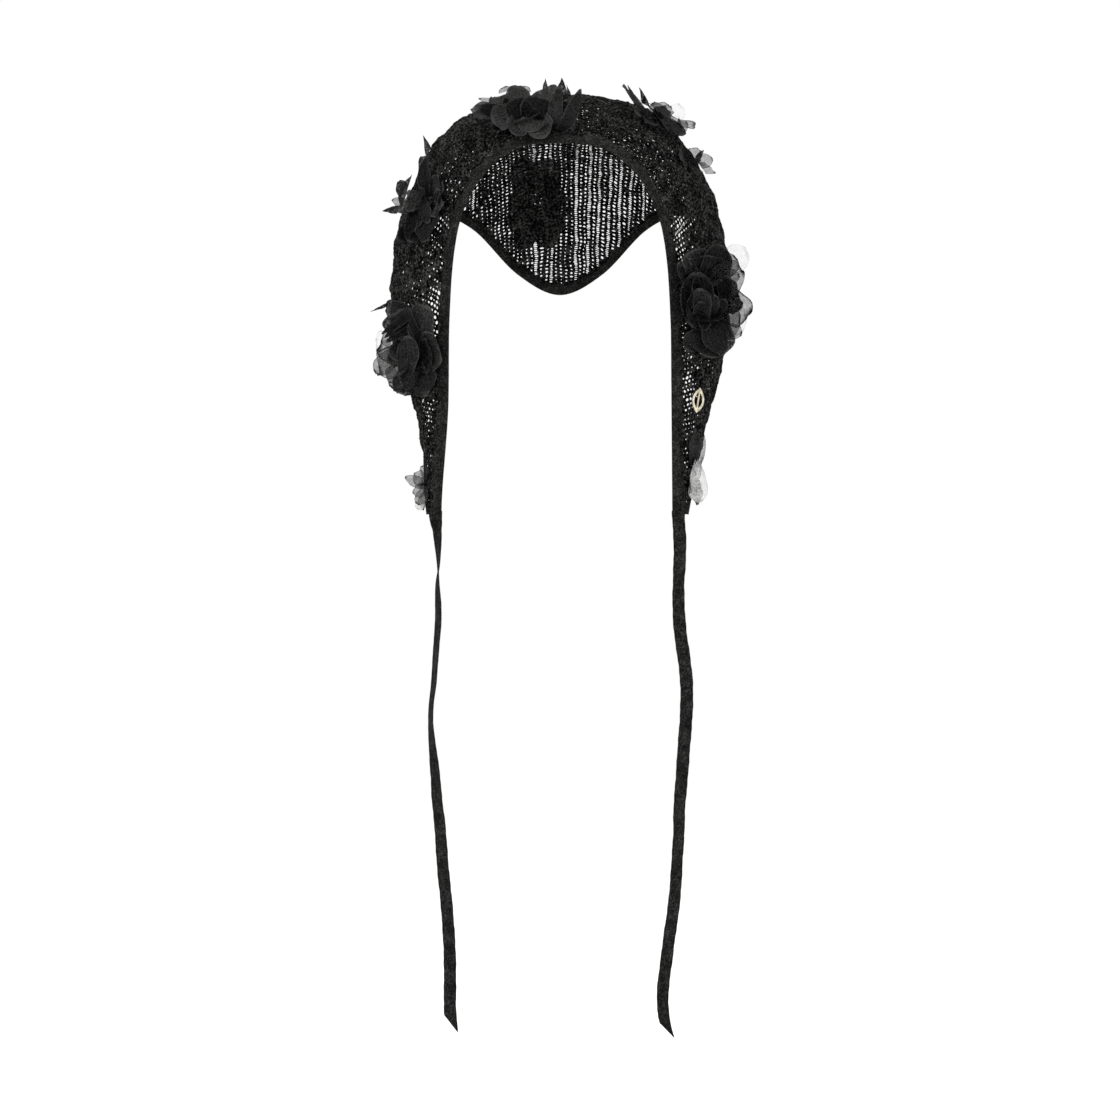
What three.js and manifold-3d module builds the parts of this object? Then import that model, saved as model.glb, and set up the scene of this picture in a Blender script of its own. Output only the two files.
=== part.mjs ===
// Lace bonnet: a kerchief-shaped hood of open-work net, bound with woven tape, that ties under the chin.
// Millimetres, +Z up, front towards -Y. The origin is the inside of the crown's top, where it meets the head.
// Left and right are as seen from the front, so right is +X.
import * as THREE from 'three';
import { mergeVertices } from 'three/addons/utils/BufferGeometryUtils.js';
import Module from 'manifold-3d';

const wasm = await Module();
wasm.setup();

// Hood
const hoodHalfWidth = 123;
const faceShare = 0.6545;
const faceHalfWidth = faceShare * hoodHalfWidth;
const hoodHeight = 314;
const hoodDepth = 178;
const crownReach = 66;
const netThickness = 1.5;
const leftFlapSpread = 4.5;
const leftFlapPinch = 7;

// Tape and the clearance between stitched neighbours
const tapeWidth = 9.5;
const tapeThickness = 2.2;
const neckTapeWidth = 8.5;
const seam = 0.4;

// Ladders: rows of open slots that run over the hood from front to nape. The outermost lie at
// ladderEndShare and the net ends at netEndShare, both along the front edge.
const ladderCount = 12;
const ladderRungs = 9;
const ladderSlotWidth = 3;
const ladderSlotShare = 0.58;
const ladderEndShare = 0.74;
const linesPerLadder = 4;
const netEndShare = 0.965;

// Ties
const tieWidth = 9.4;
const tieThickness = 1.2;
const tieCut = 6.5;

// Flowers
const petalThickness = 1;
const coreRadius = 7;
const coreHeight = 8;

// Metal leaf
const leafLength = 19;
const leafWidth = 11;
const leafThickness = 1.2;
const leafStandoff = 0.7;
const leafRim = 1.4;
const leafPlace = { along: 0.755, over: 0.3, turn: -12 };

// The hood is lofted over four hoops, arches from the top centre (along 0) down to a tie corner (along 1).
// across is a share of the half width, drop of the height below the crown, back of the depth.
const frontHoop = [
  { along: 0, across: 0, drop: 0.14, back: 0 },
  { along: 0.1, across: 0.373, drop: 0.15, back: 0 },
  { along: 0.2, across: 0.677, drop: 0.208, back: 0.01 },
  { along: 0.3, across: 0.868, drop: 0.293, back: 0.025 },
  { along: 0.4, across: 0.952, drop: 0.388, back: 0.035 },
  { along: 0.55, across: 0.993, drop: 0.541, back: 0.045 },
  { along: 0.7, across: 1, drop: 0.691, back: 0.045 },
  { along: 0.85, across: 1.004, drop: 0.844, back: 0.035 },
  { along: 1, across: 1.006, drop: 0.994, back: 0.02 },
];
const sideHoop = [
  { along: 0, across: 0, drop: 0, back: 0.37 },
  { along: 0.1, across: 0.309, drop: 0.01, back: 0.37 },
  { along: 0.2, across: 0.575, drop: 0.052, back: 0.37 },
  { along: 0.3, across: 0.795, drop: 0.134, back: 0.37 },
  { along: 0.4, across: 0.945, drop: 0.27, back: 0.36 },
  { along: 0.55, across: 1.004, drop: 0.462, back: 0.3 },
  { along: 0.7, across: 0.958, drop: 0.646, back: 0.235 },
  { along: 0.85, across: 0.84, drop: 0.822, back: 0.14 },
  { along: 1, across: 0.715, drop: 0.99, back: 0.04 },
];
const backHoop = [
  { along: 0, across: 0, drop: 0.115, back: 0.84 },
  { along: 0.1, across: 0.293, drop: 0.124, back: 0.83 },
  { along: 0.2, across: 0.553, drop: 0.159, back: 0.79 },
  { along: 0.3, across: 0.764, drop: 0.204, back: 0.71 },
  { along: 0.4, across: 0.919, drop: 0.274, back: 0.57 },
  { along: 0.55, across: 0.996, drop: 0.449, back: 0.42 },
  { along: 0.7, across: 0.955, drop: 0.637, back: 0.31 },
  { along: 0.85, across: 0.845, drop: 0.818, back: 0.185 },
  { along: 1, across: 0.745, drop: 0.99, back: 0.068 },
];
const neckHoop = [
  { along: 0, across: 0, drop: 0.439, back: 1 },
  { along: 0.1, across: 0.268, drop: 0.39, back: 0.965 },
  { along: 0.2, across: 0.537, drop: 0.287, back: 0.88 },
  { along: 0.3, across: 0.756, drop: 0.255, back: 0.78 },
  { along: 0.4, across: 0.894, drop: 0.296, back: 0.68 },
  { along: 0.55, across: 0.976, drop: 0.443, back: 0.53 },
  { along: 0.7, across: 0.938, drop: 0.631, back: 0.39 },
  { along: 0.85, across: 0.838, drop: 0.815, back: 0.24 },
  { along: 1, across: 0.749, drop: 0.99, back: 0.096 },
];
// How far the cloth has turned outwards and backwards at the brow, between the front hoop and the side hoop
const browOutShare = 0.6;
const browBackShare = 0.34;

// Soft folds and dents: depth is a share of hoodHalfWidth, place and spread are shares along the front and
// over the hood.
const folds = [
  { along: -0.62, over: 0.35, depth: 0.024, spreadAlong: 0.05, spreadOver: 0.3 },
  { along: -0.36, over: 0.45, depth: -0.022, spreadAlong: 0.05, spreadOver: 0.25 },
  { along: 0.18, over: 0.3, depth: 0.016, spreadAlong: 0.04, spreadOver: 0.2 },
  { along: 0.31, over: 0.42, depth: -0.02, spreadAlong: 0.04, spreadOver: 0.22 },
  { along: 0.52, over: 0.5, depth: 0.024, spreadAlong: 0.05, spreadOver: 0.3 },
  { along: 0.8, over: 0.5, depth: -0.018, spreadAlong: 0.04, spreadOver: 0.4 },
  { along: -0.83, over: 0.5, depth: 0.018, spreadAlong: 0.04, spreadOver: 0.4 },
];

// Routes of the ties, from the middle of the tape at each corner: sideways, back, down and turn in degrees
const leftTieRoute = [
  [0, 0, 0.3, 10], [1.1, 0.5, 10, 50], [1.8, 1.5, 23, 68], [2, 2.5, 36, 86], [1.3, 3, 49.7, 106],
  [1.8, 3, 64, 117], [1.8, 2.5, 76.3, 118], [0.6, 2, 92.9, 116], [-0.4, 1.5, 107.3, 114],
  [-1.4, 1, 121.7, 112], [-3.1, 0.5, 136, 109], [-3.5, 0, 148.3, 110], [-2.7, -0.5, 161.3, 118],
  [-1.4, -1, 174.2, 130], [0.1, -1.5, 190, 138], [1.1, -1.5, 204.5, 144], [2.9, -1, 220.3, 149],
  [4, -0.5, 234.7, 153], [5.4, 0, 254.9, 156], [7.6, 0.5, 276.5, 158], [9, 1, 294.5, 160],
  [10.2, 1, 316, 162], [10.4, 1, 337.7, 164], [10.4, 0.5, 354.2, 164], [11.2, 0, 366.5, 164],
];
const rightTieRoute = [
  [0, 0, 0.3, 4], [1.1, 0.5, 18.7, 6], [0.9, 1, 33.8, 16], [0.2, 2, 49.7, 28], [0.4, 3, 69.1, 14],
  [1.8, 3.5, 86.4, 4], [4, 3, 101.5, 0], [5.8, 2, 118, 0], [6.1, 1, 131, 4], [5.4, 0, 148.3, 6],
  [4, -1, 165.6, 10], [2.5, -1.5, 187.2, 16], [0.5, -1.5, 213.1, 26], [0.4, -1, 226.1, 29],
  [-0.9, -0.5, 247.7, 30], [-2.2, 0, 269.3, 24], [-4, 0.5, 286.6, 20], [-6.5, 1, 303.8, 20],
  [-8.6, 1.5, 321.1, 20], [-10.8, 1.5, 338.4, 22], [-11.3, 1, 351.4, 26], [-10, 0, 364.3, 34],
  [-8.2, -1, 371, 40],
];

// Petals of each flower. turn is in degrees round the flower, from sideways away from the middle (0) to
// up (90). reach and width are in millimetres, lift is in degrees off the cloth, cup is the sides' curl.
const flowers = {
  crown_flower_left: {
    along: -0.085, over: 0.108, tip: 0.45,
    petals: [
      { turn: 2, reach: 36, width: 20, lift: 14, cup: 0.25 },
      { turn: 36, reach: 26, width: 18, lift: 24, cup: 0.3 },
      { turn: 78, reach: 24, width: 24, lift: 20, cup: 0.2 },
      { turn: 140, reach: 36, width: 14, lift: 14, cup: 0.5 },
      { turn: 176, reach: 30, width: 20, lift: 12, cup: 0.2 },
      { turn: 232, reach: 17, width: 22, lift: 26, cup: 0.25 },
      { turn: 312, reach: 22, width: 24, lift: 18, cup: 0.25 },
    ],
  },
  crown_flower_right: {
    along: 0.195, over: 0.27, tip: 0.75,
    petals: [
      { turn: 340, reach: 34, width: 18, lift: 24, cup: 0.3 },
      { turn: 30, reach: 24, width: 17, lift: 34, cup: 0.3 },
      { turn: 135, reach: 34, width: 9, lift: 30, cup: 0.5 },
      { turn: 215, reach: 18, width: 14, lift: 14, cup: 0.2 },
      { turn: 290, reach: 24, width: 15, lift: 18, cup: 0.25 },
    ],
  },
  temple_flower_left: {
    along: -0.355, over: 0.25, tip: 0.65,
    petals: [
      { turn: 350, reach: 28, width: 15, lift: 30, cup: 0.35 },
      { turn: 72, reach: 36, width: 13, lift: 12, cup: 0.4 },
      { turn: 125, reach: 20, width: 18, lift: 16, cup: 0.2 },
      { turn: 195, reach: 22, width: 20, lift: 14, cup: 0.25 },
      { turn: 250, reach: 36, width: 22, lift: 12, cup: 0.2 },
      { turn: 290, reach: 34, width: 18, lift: 18, cup: 0.3 },
    ],
  },
  temple_petals_right: {
    along: 0.3, over: 0.36, tip: 0.85,
    petals: [
      { turn: 20, reach: 19, width: 12, lift: 34, cup: 0.3 },
      { turn: 285, reach: 20, width: 12, lift: 20, cup: 0.3 },
      { turn: 170, reach: 13, width: 11, lift: 16, cup: 0.2 },
    ],
  },
  cheek_flower_left: {
    along: -0.655, over: 0.28, tip: 0.3,
    petals: [
      { turn: 10, reach: 30, width: 24, lift: 38, cup: 0.2 },
      { turn: 62, reach: 34, width: 24, lift: 24, cup: 0.3 },
      { turn: 112, reach: 36, width: 26, lift: 14, cup: 0.2 },
      { turn: 180, reach: 25, width: 28, lift: 14, cup: 0.25 },
      { turn: 248, reach: 34, width: 28, lift: 14, cup: 0.2 },
      { turn: 298, reach: 32, width: 28, lift: 28, cup: 0.25 },
      { turn: 336, reach: 32, width: 22, lift: 40, cup: 0.3 },
    ],
  },
  cheek_flower_right: {
    along: 0.53, over: 0.25, tip: 0.3,
    petals: [
      { turn: 30, reach: 34, width: 26, lift: 34, cup: 0.25 },
      { turn: 74, reach: 38, width: 26, lift: 20, cup: 0.2 },
      { turn: 120, reach: 34, width: 26, lift: 14, cup: 0.2 },
      { turn: 180, reach: 25, width: 28, lift: 16, cup: 0.3 },
      { turn: 232, reach: 34, width: 26, lift: 16, cup: 0.3 },
      { turn: 280, reach: 50, width: 30, lift: 16, cup: 0.2 },
      { turn: 328, reach: 38, width: 26, lift: 30, cup: 0.25 },
    ],
  },
  corner_petals_left: {
    along: -0.935, over: 0.44, tip: 0.7,
    petals: [
      { turn: 30, reach: 17, width: 13, lift: 38, cup: 0.3 },
      { turn: 270, reach: 20, width: 13, lift: 20, cup: 0.3 },
      { turn: 325, reach: 17, width: 11, lift: 30, cup: 0.3 },
    ],
  },
  corner_petals_right: {
    along: 0.905, over: 0.42, tip: 0.55,
    petals: [
      { turn: 95, reach: 30, width: 14, lift: 12, cup: 0.3 },
      { turn: 15, reach: 13, width: 14, lift: 30, cup: 0.3 },
      { turn: 278, reach: 26, width: 14, lift: 16, cup: 0.3 },
    ],
  },
  nape_flower: {
    along: -0.05, over: 0.75, tip: 0.35,
    petals: [
      { turn: 0, reach: 22, width: 22, lift: 16, cup: 0.25 },
      { turn: 62, reach: 34, width: 24, lift: 16, cup: 0.25 },
      { turn: 116, reach: 36, width: 24, lift: 16, cup: 0.25 },
      { turn: 180, reach: 22, width: 22, lift: 16, cup: 0.25 },
      { turn: 242, reach: 34, width: 24, lift: 16, cup: 0.25 },
      { turn: 298, reach: 36, width: 24, lift: 16, cup: 0.25 },
    ],
  },
};

// Materials
const netCloth = new THREE.MeshStandardMaterial({ color: 0x121113, roughness: 0.9, metalness: 0 });
const tapeCloth = new THREE.MeshStandardMaterial({ color: 0x1c1b1d, roughness: 0.85, metalness: 0 });
const chiffon = new THREE.MeshStandardMaterial({ color: 0x1a1a1c, roughness: 0.6, metalness: 0 });
const paleMetal = new THREE.MeshStandardMaterial({ color: 0xcfc29a, roughness: 0.3, metalness: 1 });

const bonnet = new THREE.Group();

function addPiece(name, geometry, material) {
  const piece = new THREE.Mesh(geometry, material);
  piece.name = name;
  bonnet.add(piece);
}

// A smooth curve through one column of a hoop's rows. The hoops are mirrored at the top centre.
function readHoop(hoop, column, along) {
  const mirror = column === 'across' ? -1 : 1;
  const rowAt = (index) => (index < 0
    ? { at: -hoop[-index].along, value: mirror * hoop[-index][column] }
    : { at: hoop[index].along, value: hoop[index][column] });
  let row = 0;
  while (row < hoop.length - 2 && hoop[row + 1].along < along) row += 1;
  const from = rowAt(row);
  const to = rowAt(row + 1);
  const before = rowAt(row - 1);
  const after = rowAt(Math.min(row + 2, hoop.length - 1));
  const span = to.at - from.at;
  const slopeFrom = (to.value - before.value) / (to.at - before.at) * span;
  const slopeTo = (after.value - from.value) / (after.at - from.at) * span;
  const t = (along - from.at) / span;
  return from.value * (2 * t ** 3 - 3 * t ** 2 + 1) + slopeFrom * (t ** 3 - 2 * t ** 2 + t)
    + to.value * (3 * t ** 2 - 2 * t ** 3) + slopeTo * (t ** 3 - t ** 2);
}

// The left flap hangs a little further out at its corner, and its back part is pinched in above the corner.
function leftFlapShift(distance, isFront) {
  const spread = leftFlapSpread * THREE.MathUtils.smoothstep(distance, 0.72, 1);
  const pinch = isFront ? 0 : leftFlapPinch * Math.exp(-(((distance - 0.82) / 0.12) ** 2));
  return spread - pinch;
}

function hoopPoint(hoop, halfWidth, along) {
  const distance = Math.abs(along);
  const side = Math.sign(along);
  const shift = side < 0 ? leftFlapShift(distance, hoop === frontHoop) : 0;
  return new THREE.Vector3(
    side * (readHoop(hoop, 'across', distance) * halfWidth + shift),
    readHoop(hoop, 'back', distance) * hoodDepth - crownReach,
    netThickness / 2 - readHoop(hoop, 'drop', distance) * hoodHeight,
  );
}

// A rib is the line over the cloth from the front edge to the neck edge, square to the front edge.
const ribs = new Map();

function ribAt(along) {
  if (!ribs.has(along)) {
    const front = hoopPoint(frontHoop, faceHalfWidth, along);
    const side = hoopPoint(sideHoop, hoodHalfWidth, along);
    const brow = new THREE.Vector3(
      THREE.MathUtils.lerp(front.x, side.x, browOutShare),
      THREE.MathUtils.lerp(front.y, side.y, browBackShare),
      THREE.MathUtils.lerp(front.z, side.z, browOutShare),
    );
    const points = [front, brow, side, hoopPoint(backHoop, hoodHalfWidth, along),
      hoopPoint(neckHoop, hoodHalfWidth, along)];
    const curve = new THREE.CatmullRomCurve3(points, false, 'centripetal');
    ribs.set(along, { curve, length: curve.getLength() });
  }
  return ribs.get(along);
}

function smoothCloth(along, over) {
  return ribAt(along).curve.getPointAt(THREE.MathUtils.clamp(over, 0, 1));
}

function foldHeight(along, over) {
  let height = 0;
  for (const fold of folds) {
    const beside = (along - fold.along) / fold.spreadAlong;
    const beyond = (over - fold.over) / fold.spreadOver;
    height += fold.depth * hoodHalfWidth * Math.exp(-(beside ** 2) - beyond ** 2);
  }
  return height * Math.sin(Math.PI * THREE.MathUtils.clamp(over, 0, 1)) ** 0.5;
}

// The cloth's middle surface and its outward normal, at a share along the front edge and one over the hood
function clothFrame(along, over) {
  const step = 0.004;
  const acrossCloth = smoothCloth(Math.min(along + step, 1), over)
    .sub(smoothCloth(Math.max(along - step, -1), over));
  const overCloth = smoothCloth(along, over + step).sub(smoothCloth(along, over - step));
  const normal = acrossCloth.cross(overCloth).normalize();
  const point = smoothCloth(along, over).addScaledVector(normal, foldHeight(along, over));
  return { point, normal };
}

// A closed solid from a grid of frames on its middle surface. Open cells become holes with walls.
function sheetSolid(frames, thickness, isOpen = () => false) {
  const columns = frames.length - 1;
  const rows = frames[0].length - 1;
  const positions = [];
  const index = [];
  for (const side of [0.5, -0.5]) {
    for (const line of frames) {
      for (const { point, normal } of line) {
        positions.push(...point.clone().addScaledVector(normal, side * thickness).toArray());
      }
    }
  }
  const layer = frames.length * frames[0].length;
  const vertex = (column, row) => column * frames[0].length + row;
  const isCloth = (column, row) => column >= 0 && row >= 0 && column < columns && row < rows
    && !isOpen(column, row);
  for (let column = 0; column < columns; column += 1) {
    for (let row = 0; row < rows; row += 1) {
      if (!isCloth(column, row)) continue;
      const corners = [vertex(column, row), vertex(column + 1, row), vertex(column + 1, row + 1),
        vertex(column, row + 1)];
      const neighbours = [[column, row - 1], [column + 1, row], [column, row + 1], [column - 1, row]];
      const [a, b, c, d] = corners;
      index.push(a, b, c, a, c, d);
      index.push(layer + a, layer + c, layer + b, layer + a, layer + d, layer + c);
      neighbours.forEach(([nextColumn, nextRow], edge) => {
        if (isCloth(nextColumn, nextRow)) return;
        const start = corners[edge];
        const end = corners[(edge + 1) % 4];
        index.push(end, start, layer + start, end, layer + start, layer + end);
      });
    }
  }
  const geometry = new THREE.BufferGeometry();
  geometry.setAttribute('position', new THREE.Float32BufferAttribute(positions, 3));
  geometry.setIndex(index);
  return geometry;
}

// Fuses closed geometries into one solid
function fuse(geometries) {
  const solids = geometries.map((geometry) => {
    const bare = geometry.clone();
    bare.deleteAttribute('normal');
    bare.deleteAttribute('uv');
    const merged = mergeVertices(bare, 1e-4);
    return new wasm.Manifold(new wasm.Mesh({
      numProp: 3,
      vertProperties: new Float32Array(merged.attributes.position.array),
      triVerts: new Uint32Array(merged.index.array),
    }));
  });
  const mesh = solids.reduce((whole, solid) => whole.add(solid)).getMesh();
  const geometry = new THREE.BufferGeometry();
  geometry.setAttribute('position', new THREE.BufferAttribute(mesh.vertProperties, 3));
  geometry.setIndex(new THREE.BufferAttribute(mesh.triVerts, 1));
  return geometry;
}

// Grid lines over the cloth, from tie corner to tie corner, with one at either side of each ladder's slots
function clothLines() {
  const halfSlot = ladderSlotWidth / 2 / frontEdgeHalfLength();
  const pitch = 2 * ladderEndShare / (ladderCount - 1);
  const between = pitch - 2 * halfSlot;
  const lines = [-1, -netEndShare, -0.91, -0.83];
  for (let ladder = 0; ladder < ladderCount; ladder += 1) {
    const middle = ladder * pitch - ladderEndShare;
    lines.push(middle - halfSlot, middle + halfSlot);
    if (ladder < ladderCount - 1) {
      lines.push(middle + halfSlot + between / 3, middle + halfSlot + 2 * between / 3);
    }
  }
  lines.push(0.83, 0.91, netEndShare, 1);
  return lines;
}

function frontEdgeHalfLength() {
  const steps = 60;
  let length = 0;
  for (let step = 0; step < steps; step += 1) {
    length += hoopPoint(frontHoop, faceHalfWidth, step / steps)
      .distanceTo(hoopPoint(frontHoop, faceHalfWidth, (step + 1) / steps));
  }
  return length;
}

function rungLines() {
  const pitch = 1 / ladderRungs;
  const lines = [0];
  for (let rung = 0; rung < ladderRungs; rung += 1) {
    const middle = (rung + 0.5) * pitch;
    lines.push(middle - ladderSlotShare * pitch / 2, middle + ladderSlotShare * pitch / 2);
  }
  lines.push(1);
  return lines;
}

// Where the net starts behind the front tape and ends before the neck tape, as shares over the hood
function netSpan(along) {
  const { length } = ribAt(along);
  return { start: (tapeWidth + seam) / length, end: 1 - (neckTapeWidth + seam) / length };
}

function netFrame(along, share) {
  const { start, end } = netSpan(along);
  return clothFrame(along, THREE.MathUtils.lerp(start, end, share));
}

function makeNet() {
  const lines = clothLines().filter((along) => Math.abs(along) <= netEndShare);
  const frames = lines.map((along) => rungLines().map((share) => netFrame(along, share)));
  const firstSlotColumn = 3;
  const isSlot = (column, row) => (column - firstSlotColumn) % linesPerLadder === 0
    && column >= firstSlotColumn && column < lines.length - firstSlotColumn && row % 2 === 1;
  addPiece('hood_net', sheetSolid(frames, netThickness, isSlot), netCloth);
}

// Bindings: tape folded over the front edge and the neck edge
function bindingFrames(edgeReach) {
  return clothLines().map((along) => {
    const { length } = ribAt(along);
    return edgeReach(length).map((reach) => clothFrame(along, reach / length));
  });
}

function makeBindings() {
  const front = bindingFrames(() => [0, tapeWidth / 2, tapeWidth]);
  const neck = bindingFrames((length) => [length - neckTapeWidth, length - neckTapeWidth / 2, length]);
  addPiece('front_binding', sheetSolid(front, tapeThickness), tapeCloth);
  addPiece('neck_binding', sheetSolid(neck, tapeThickness), tapeCloth);
}

// Ties: flat tape that hangs from the front binding's ends, twisted along its route and cut slantwise
function makeTie(name, corner, route) {
  const { point: start } = clothFrame(corner, tapeWidth / 2 / ribAt(corner).length);
  const lowestCorner = Math.min(...[0, 1].map((share) => clothFrame(
    corner,
    share * tapeWidth / ribAt(corner).length,
  ).point.z));
  start.z = Math.min(start.z, lowestCorner);
  const points = route.map(([sideways, back, down]) => (
    new THREE.Vector3(start.x + sideways, start.y + back, start.z - down)));
  const frames = points.map((point, step) => {
    const ahead = points[Math.min(step + 1, points.length - 1)];
    const behind = points[Math.max(step - 1, 0)];
    const heading = ahead.clone().sub(behind).normalize();
    const turn = THREE.MathUtils.degToRad(route[step][3]);
    const flat = new THREE.Vector3(Math.cos(turn), Math.sin(turn), 0);
    const normal = heading.clone().cross(flat).normalize();
    const across = normal.clone().cross(heading);
    const isEnd = step === points.length - 1;
    return [-0.5, 0, 0.5].map((share) => ({
      point: point.clone().addScaledVector(across, share * tieWidth)
        .addScaledVector(heading, isEnd ? 2 * share * tieCut * Math.sign(Math.cos(turn)) : 0),
      normal,
    }));
  });
  addPiece(name, sheetSolid(frames, tieThickness), tapeCloth);
}

// A petal runs out from inside the flower's core, widens and rounds off or comes to a point
function petalGeometry(petal, tip) {
  const rows = 3;
  const root = coreRadius * 0.55;
  const turn = THREE.MathUtils.degToRad(petal.turn);
  const lift = THREE.MathUtils.degToRad(petal.lift);
  const outward = new THREE.Vector3(Math.cos(turn), Math.sin(turn), 0);
  const beside = new THREE.Vector3(-Math.sin(turn), Math.cos(turn), 0);
  const middle = (share) => {
    const bend = lift * (0.7 + 0.6 * share);
    const distance = THREE.MathUtils.lerp(root, petal.reach, share);
    return outward.clone().multiplyScalar(distance * Math.cos(bend))
      .setZ(coreHeight * 0.4 + (distance - root) * Math.sin(bend));
  };
  const rootShare = 0.3;
  const tipShare = THREE.MathUtils.lerp(0.5, 0.12, tip);
  const widths = [rootShare, 0.85, THREE.MathUtils.lerp(1, 0.7, tip), tipShare];
  const frames = widths.map((widthShare, row) => {
    const share = row / rows;
    const halfWidth = petal.width / 2 * widthShare;
    const heading = middle(share + 0.01).sub(middle(share - 0.01)).normalize();
    const up = heading.clone().cross(beside).normalize();
    return [-1, 0, 1].map((edge) => ({
      point: middle(share).addScaledVector(beside, edge * halfWidth)
        .addScaledVector(up, edge ** 2 * petal.cup * halfWidth),
      normal: up,
    }));
  });
  return sheetSolid(frames, petalThickness);
}

// The point of the net's flat cell at a place, where a seated piece touches it
function netFacetPoint(along, over) {
  const { start, end } = netSpan(along);
  const share = THREE.MathUtils.inverseLerp(start, end, over);
  const lines = clothLines();
  const rungs = rungLines();
  const column = lines.findIndex((line) => line > along);
  const row = rungs.findIndex((rung) => rung > share);
  const beside = THREE.MathUtils.inverseLerp(lines[column - 1], lines[column], along);
  const beyond = THREE.MathUtils.inverseLerp(rungs[row - 1], rungs[row], share);
  const [near, far] = [row - 1, row].map((index) => netFrame(lines[column - 1], rungs[index]).point
    .lerp(netFrame(lines[column], rungs[index]).point, beside));
  return near.lerp(far, beyond);
}

// Stands a flower's own axes on the cloth: Z away from the cloth, Y up the hood, X sideways from the middle
function seatOnCloth(geometry, along, over, lift) {
  const { normal } = clothFrame(along, over);
  const point = netFacetPoint(along, over);
  const steepest = Math.abs(normal.z) > 0.95 ? new THREE.Vector3(0, 1, 0) : new THREE.Vector3(0, 0, 1);
  const up = steepest.addScaledVector(normal, -steepest.dot(normal)).normalize();
  const sideways = up.clone().cross(normal);
  const frame = new THREE.Matrix4().makeBasis(sideways, up, normal)
    .setPosition(point.addScaledVector(normal, lift));
  return geometry.applyMatrix4(frame);
}

function makeFlower(name, flower) {
  const side = Math.sign(flower.along);
  const petals = flower.petals.map((petal) => petalGeometry(
    { ...petal, turn: side > 0 ? petal.turn : 180 - petal.turn },
    flower.tip,
  ));
  const dome = new THREE.SphereGeometry(coreRadius, 8, 6).scale(1, 1, coreHeight / 2 / coreRadius)
    .translate(0, 0, coreHeight / 2);
  const whole = fuse([dome, ...petals]);
  const seat = netThickness / 2 + seam;
  addPiece(name, seatOnCloth(whole, flower.along, flower.over, seat), chiffon);
}

// Metal leaf: a pierced plate with a midrib
function makeLeaf() {
  const outline = new THREE.Shape();
  outline.moveTo(0, -leafLength / 2);
  outline.quadraticCurveTo(leafWidth, 0, 0, leafLength / 2);
  outline.quadraticCurveTo(-leafWidth, 0, 0, -leafLength / 2);
  for (const side of [1, -1]) {
    const opening = new THREE.Path();
    const inner = leafLength / 2 - 2.6 * leafRim;
    opening.moveTo(side * leafRim / 2, -inner);
    opening.quadraticCurveTo(side * (leafWidth - 3 * leafRim), 0, side * leafRim / 2, inner);
    opening.lineTo(side * leafRim / 2, -inner);
    outline.holes.push(opening);
  }
  const thickness = { depth: leafThickness, bevelEnabled: false, curveSegments: 8 };
  const plate = new THREE.ExtrudeGeometry(outline, thickness);
  plate.rotateZ(THREE.MathUtils.degToRad(leafPlace.turn));
  const leaf = seatOnCloth(fuse([plate]), leafPlace.along, leafPlace.over, netThickness / 2 + leafStandoff);
  addPiece('metal_leaf', leaf, paleMetal);
}

makeNet();
makeBindings();
makeTie('left_tie', -1, leftTieRoute);
makeTie('right_tie', 1, rightTieRoute);
for (const [name, flower] of Object.entries(flowers)) makeFlower(name, flower);
makeLeaf();

export default bonnet;
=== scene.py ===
import math
from functools import partial
import bmesh
import bpy
import numpy as np
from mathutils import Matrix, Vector
from mathutils.kdtree import KDTree


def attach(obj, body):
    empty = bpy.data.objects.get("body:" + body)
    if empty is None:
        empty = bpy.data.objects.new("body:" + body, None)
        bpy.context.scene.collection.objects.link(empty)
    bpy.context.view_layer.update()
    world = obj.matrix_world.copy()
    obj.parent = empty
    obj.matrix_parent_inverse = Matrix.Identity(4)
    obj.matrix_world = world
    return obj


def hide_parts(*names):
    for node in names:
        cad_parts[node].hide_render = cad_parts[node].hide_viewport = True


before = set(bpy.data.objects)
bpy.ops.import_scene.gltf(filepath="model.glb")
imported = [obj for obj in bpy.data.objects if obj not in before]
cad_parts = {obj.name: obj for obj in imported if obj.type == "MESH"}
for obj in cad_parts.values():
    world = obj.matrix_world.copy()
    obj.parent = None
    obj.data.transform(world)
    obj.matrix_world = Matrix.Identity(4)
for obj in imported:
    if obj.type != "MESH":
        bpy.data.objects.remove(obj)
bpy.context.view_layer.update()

scene = bpy.context.scene


# helpers for meshes
def addMesh(name, points, faces, materials, uvs=None, materialIndex=None):
    mesh = bpy.data.meshes.new(name)
    mesh.from_pydata([tuple(p) for p in points], [], faces)
    if uvs is not None:
        layer = mesh.uv_layers.new(name="clothUv")
        corners = np.empty(len(mesh.loops), np.int32)
        mesh.loops.foreach_get("vertex_index", corners)
        layer.data.foreach_set("uv", np.asarray(uvs, np.float32)[corners].ravel())
    for material in materials:
        mesh.materials.append(material)
    if materialIndex is not None:
        mesh.polygons.foreach_set("material_index", np.asarray(materialIndex, np.int32))
    mesh.polygons.foreach_set("use_smooth", np.full(len(mesh.polygons), True))
    mesh.update()
    piece = bpy.data.objects.new(name, mesh)
    scene.collection.objects.link(piece)
    return piece


def clothArea(piece):
    return sum(face.area for face in piece.data.polygons)


def standFor(piece, nodeName):
    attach(piece, "root")
    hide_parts(nodeName)


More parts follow.
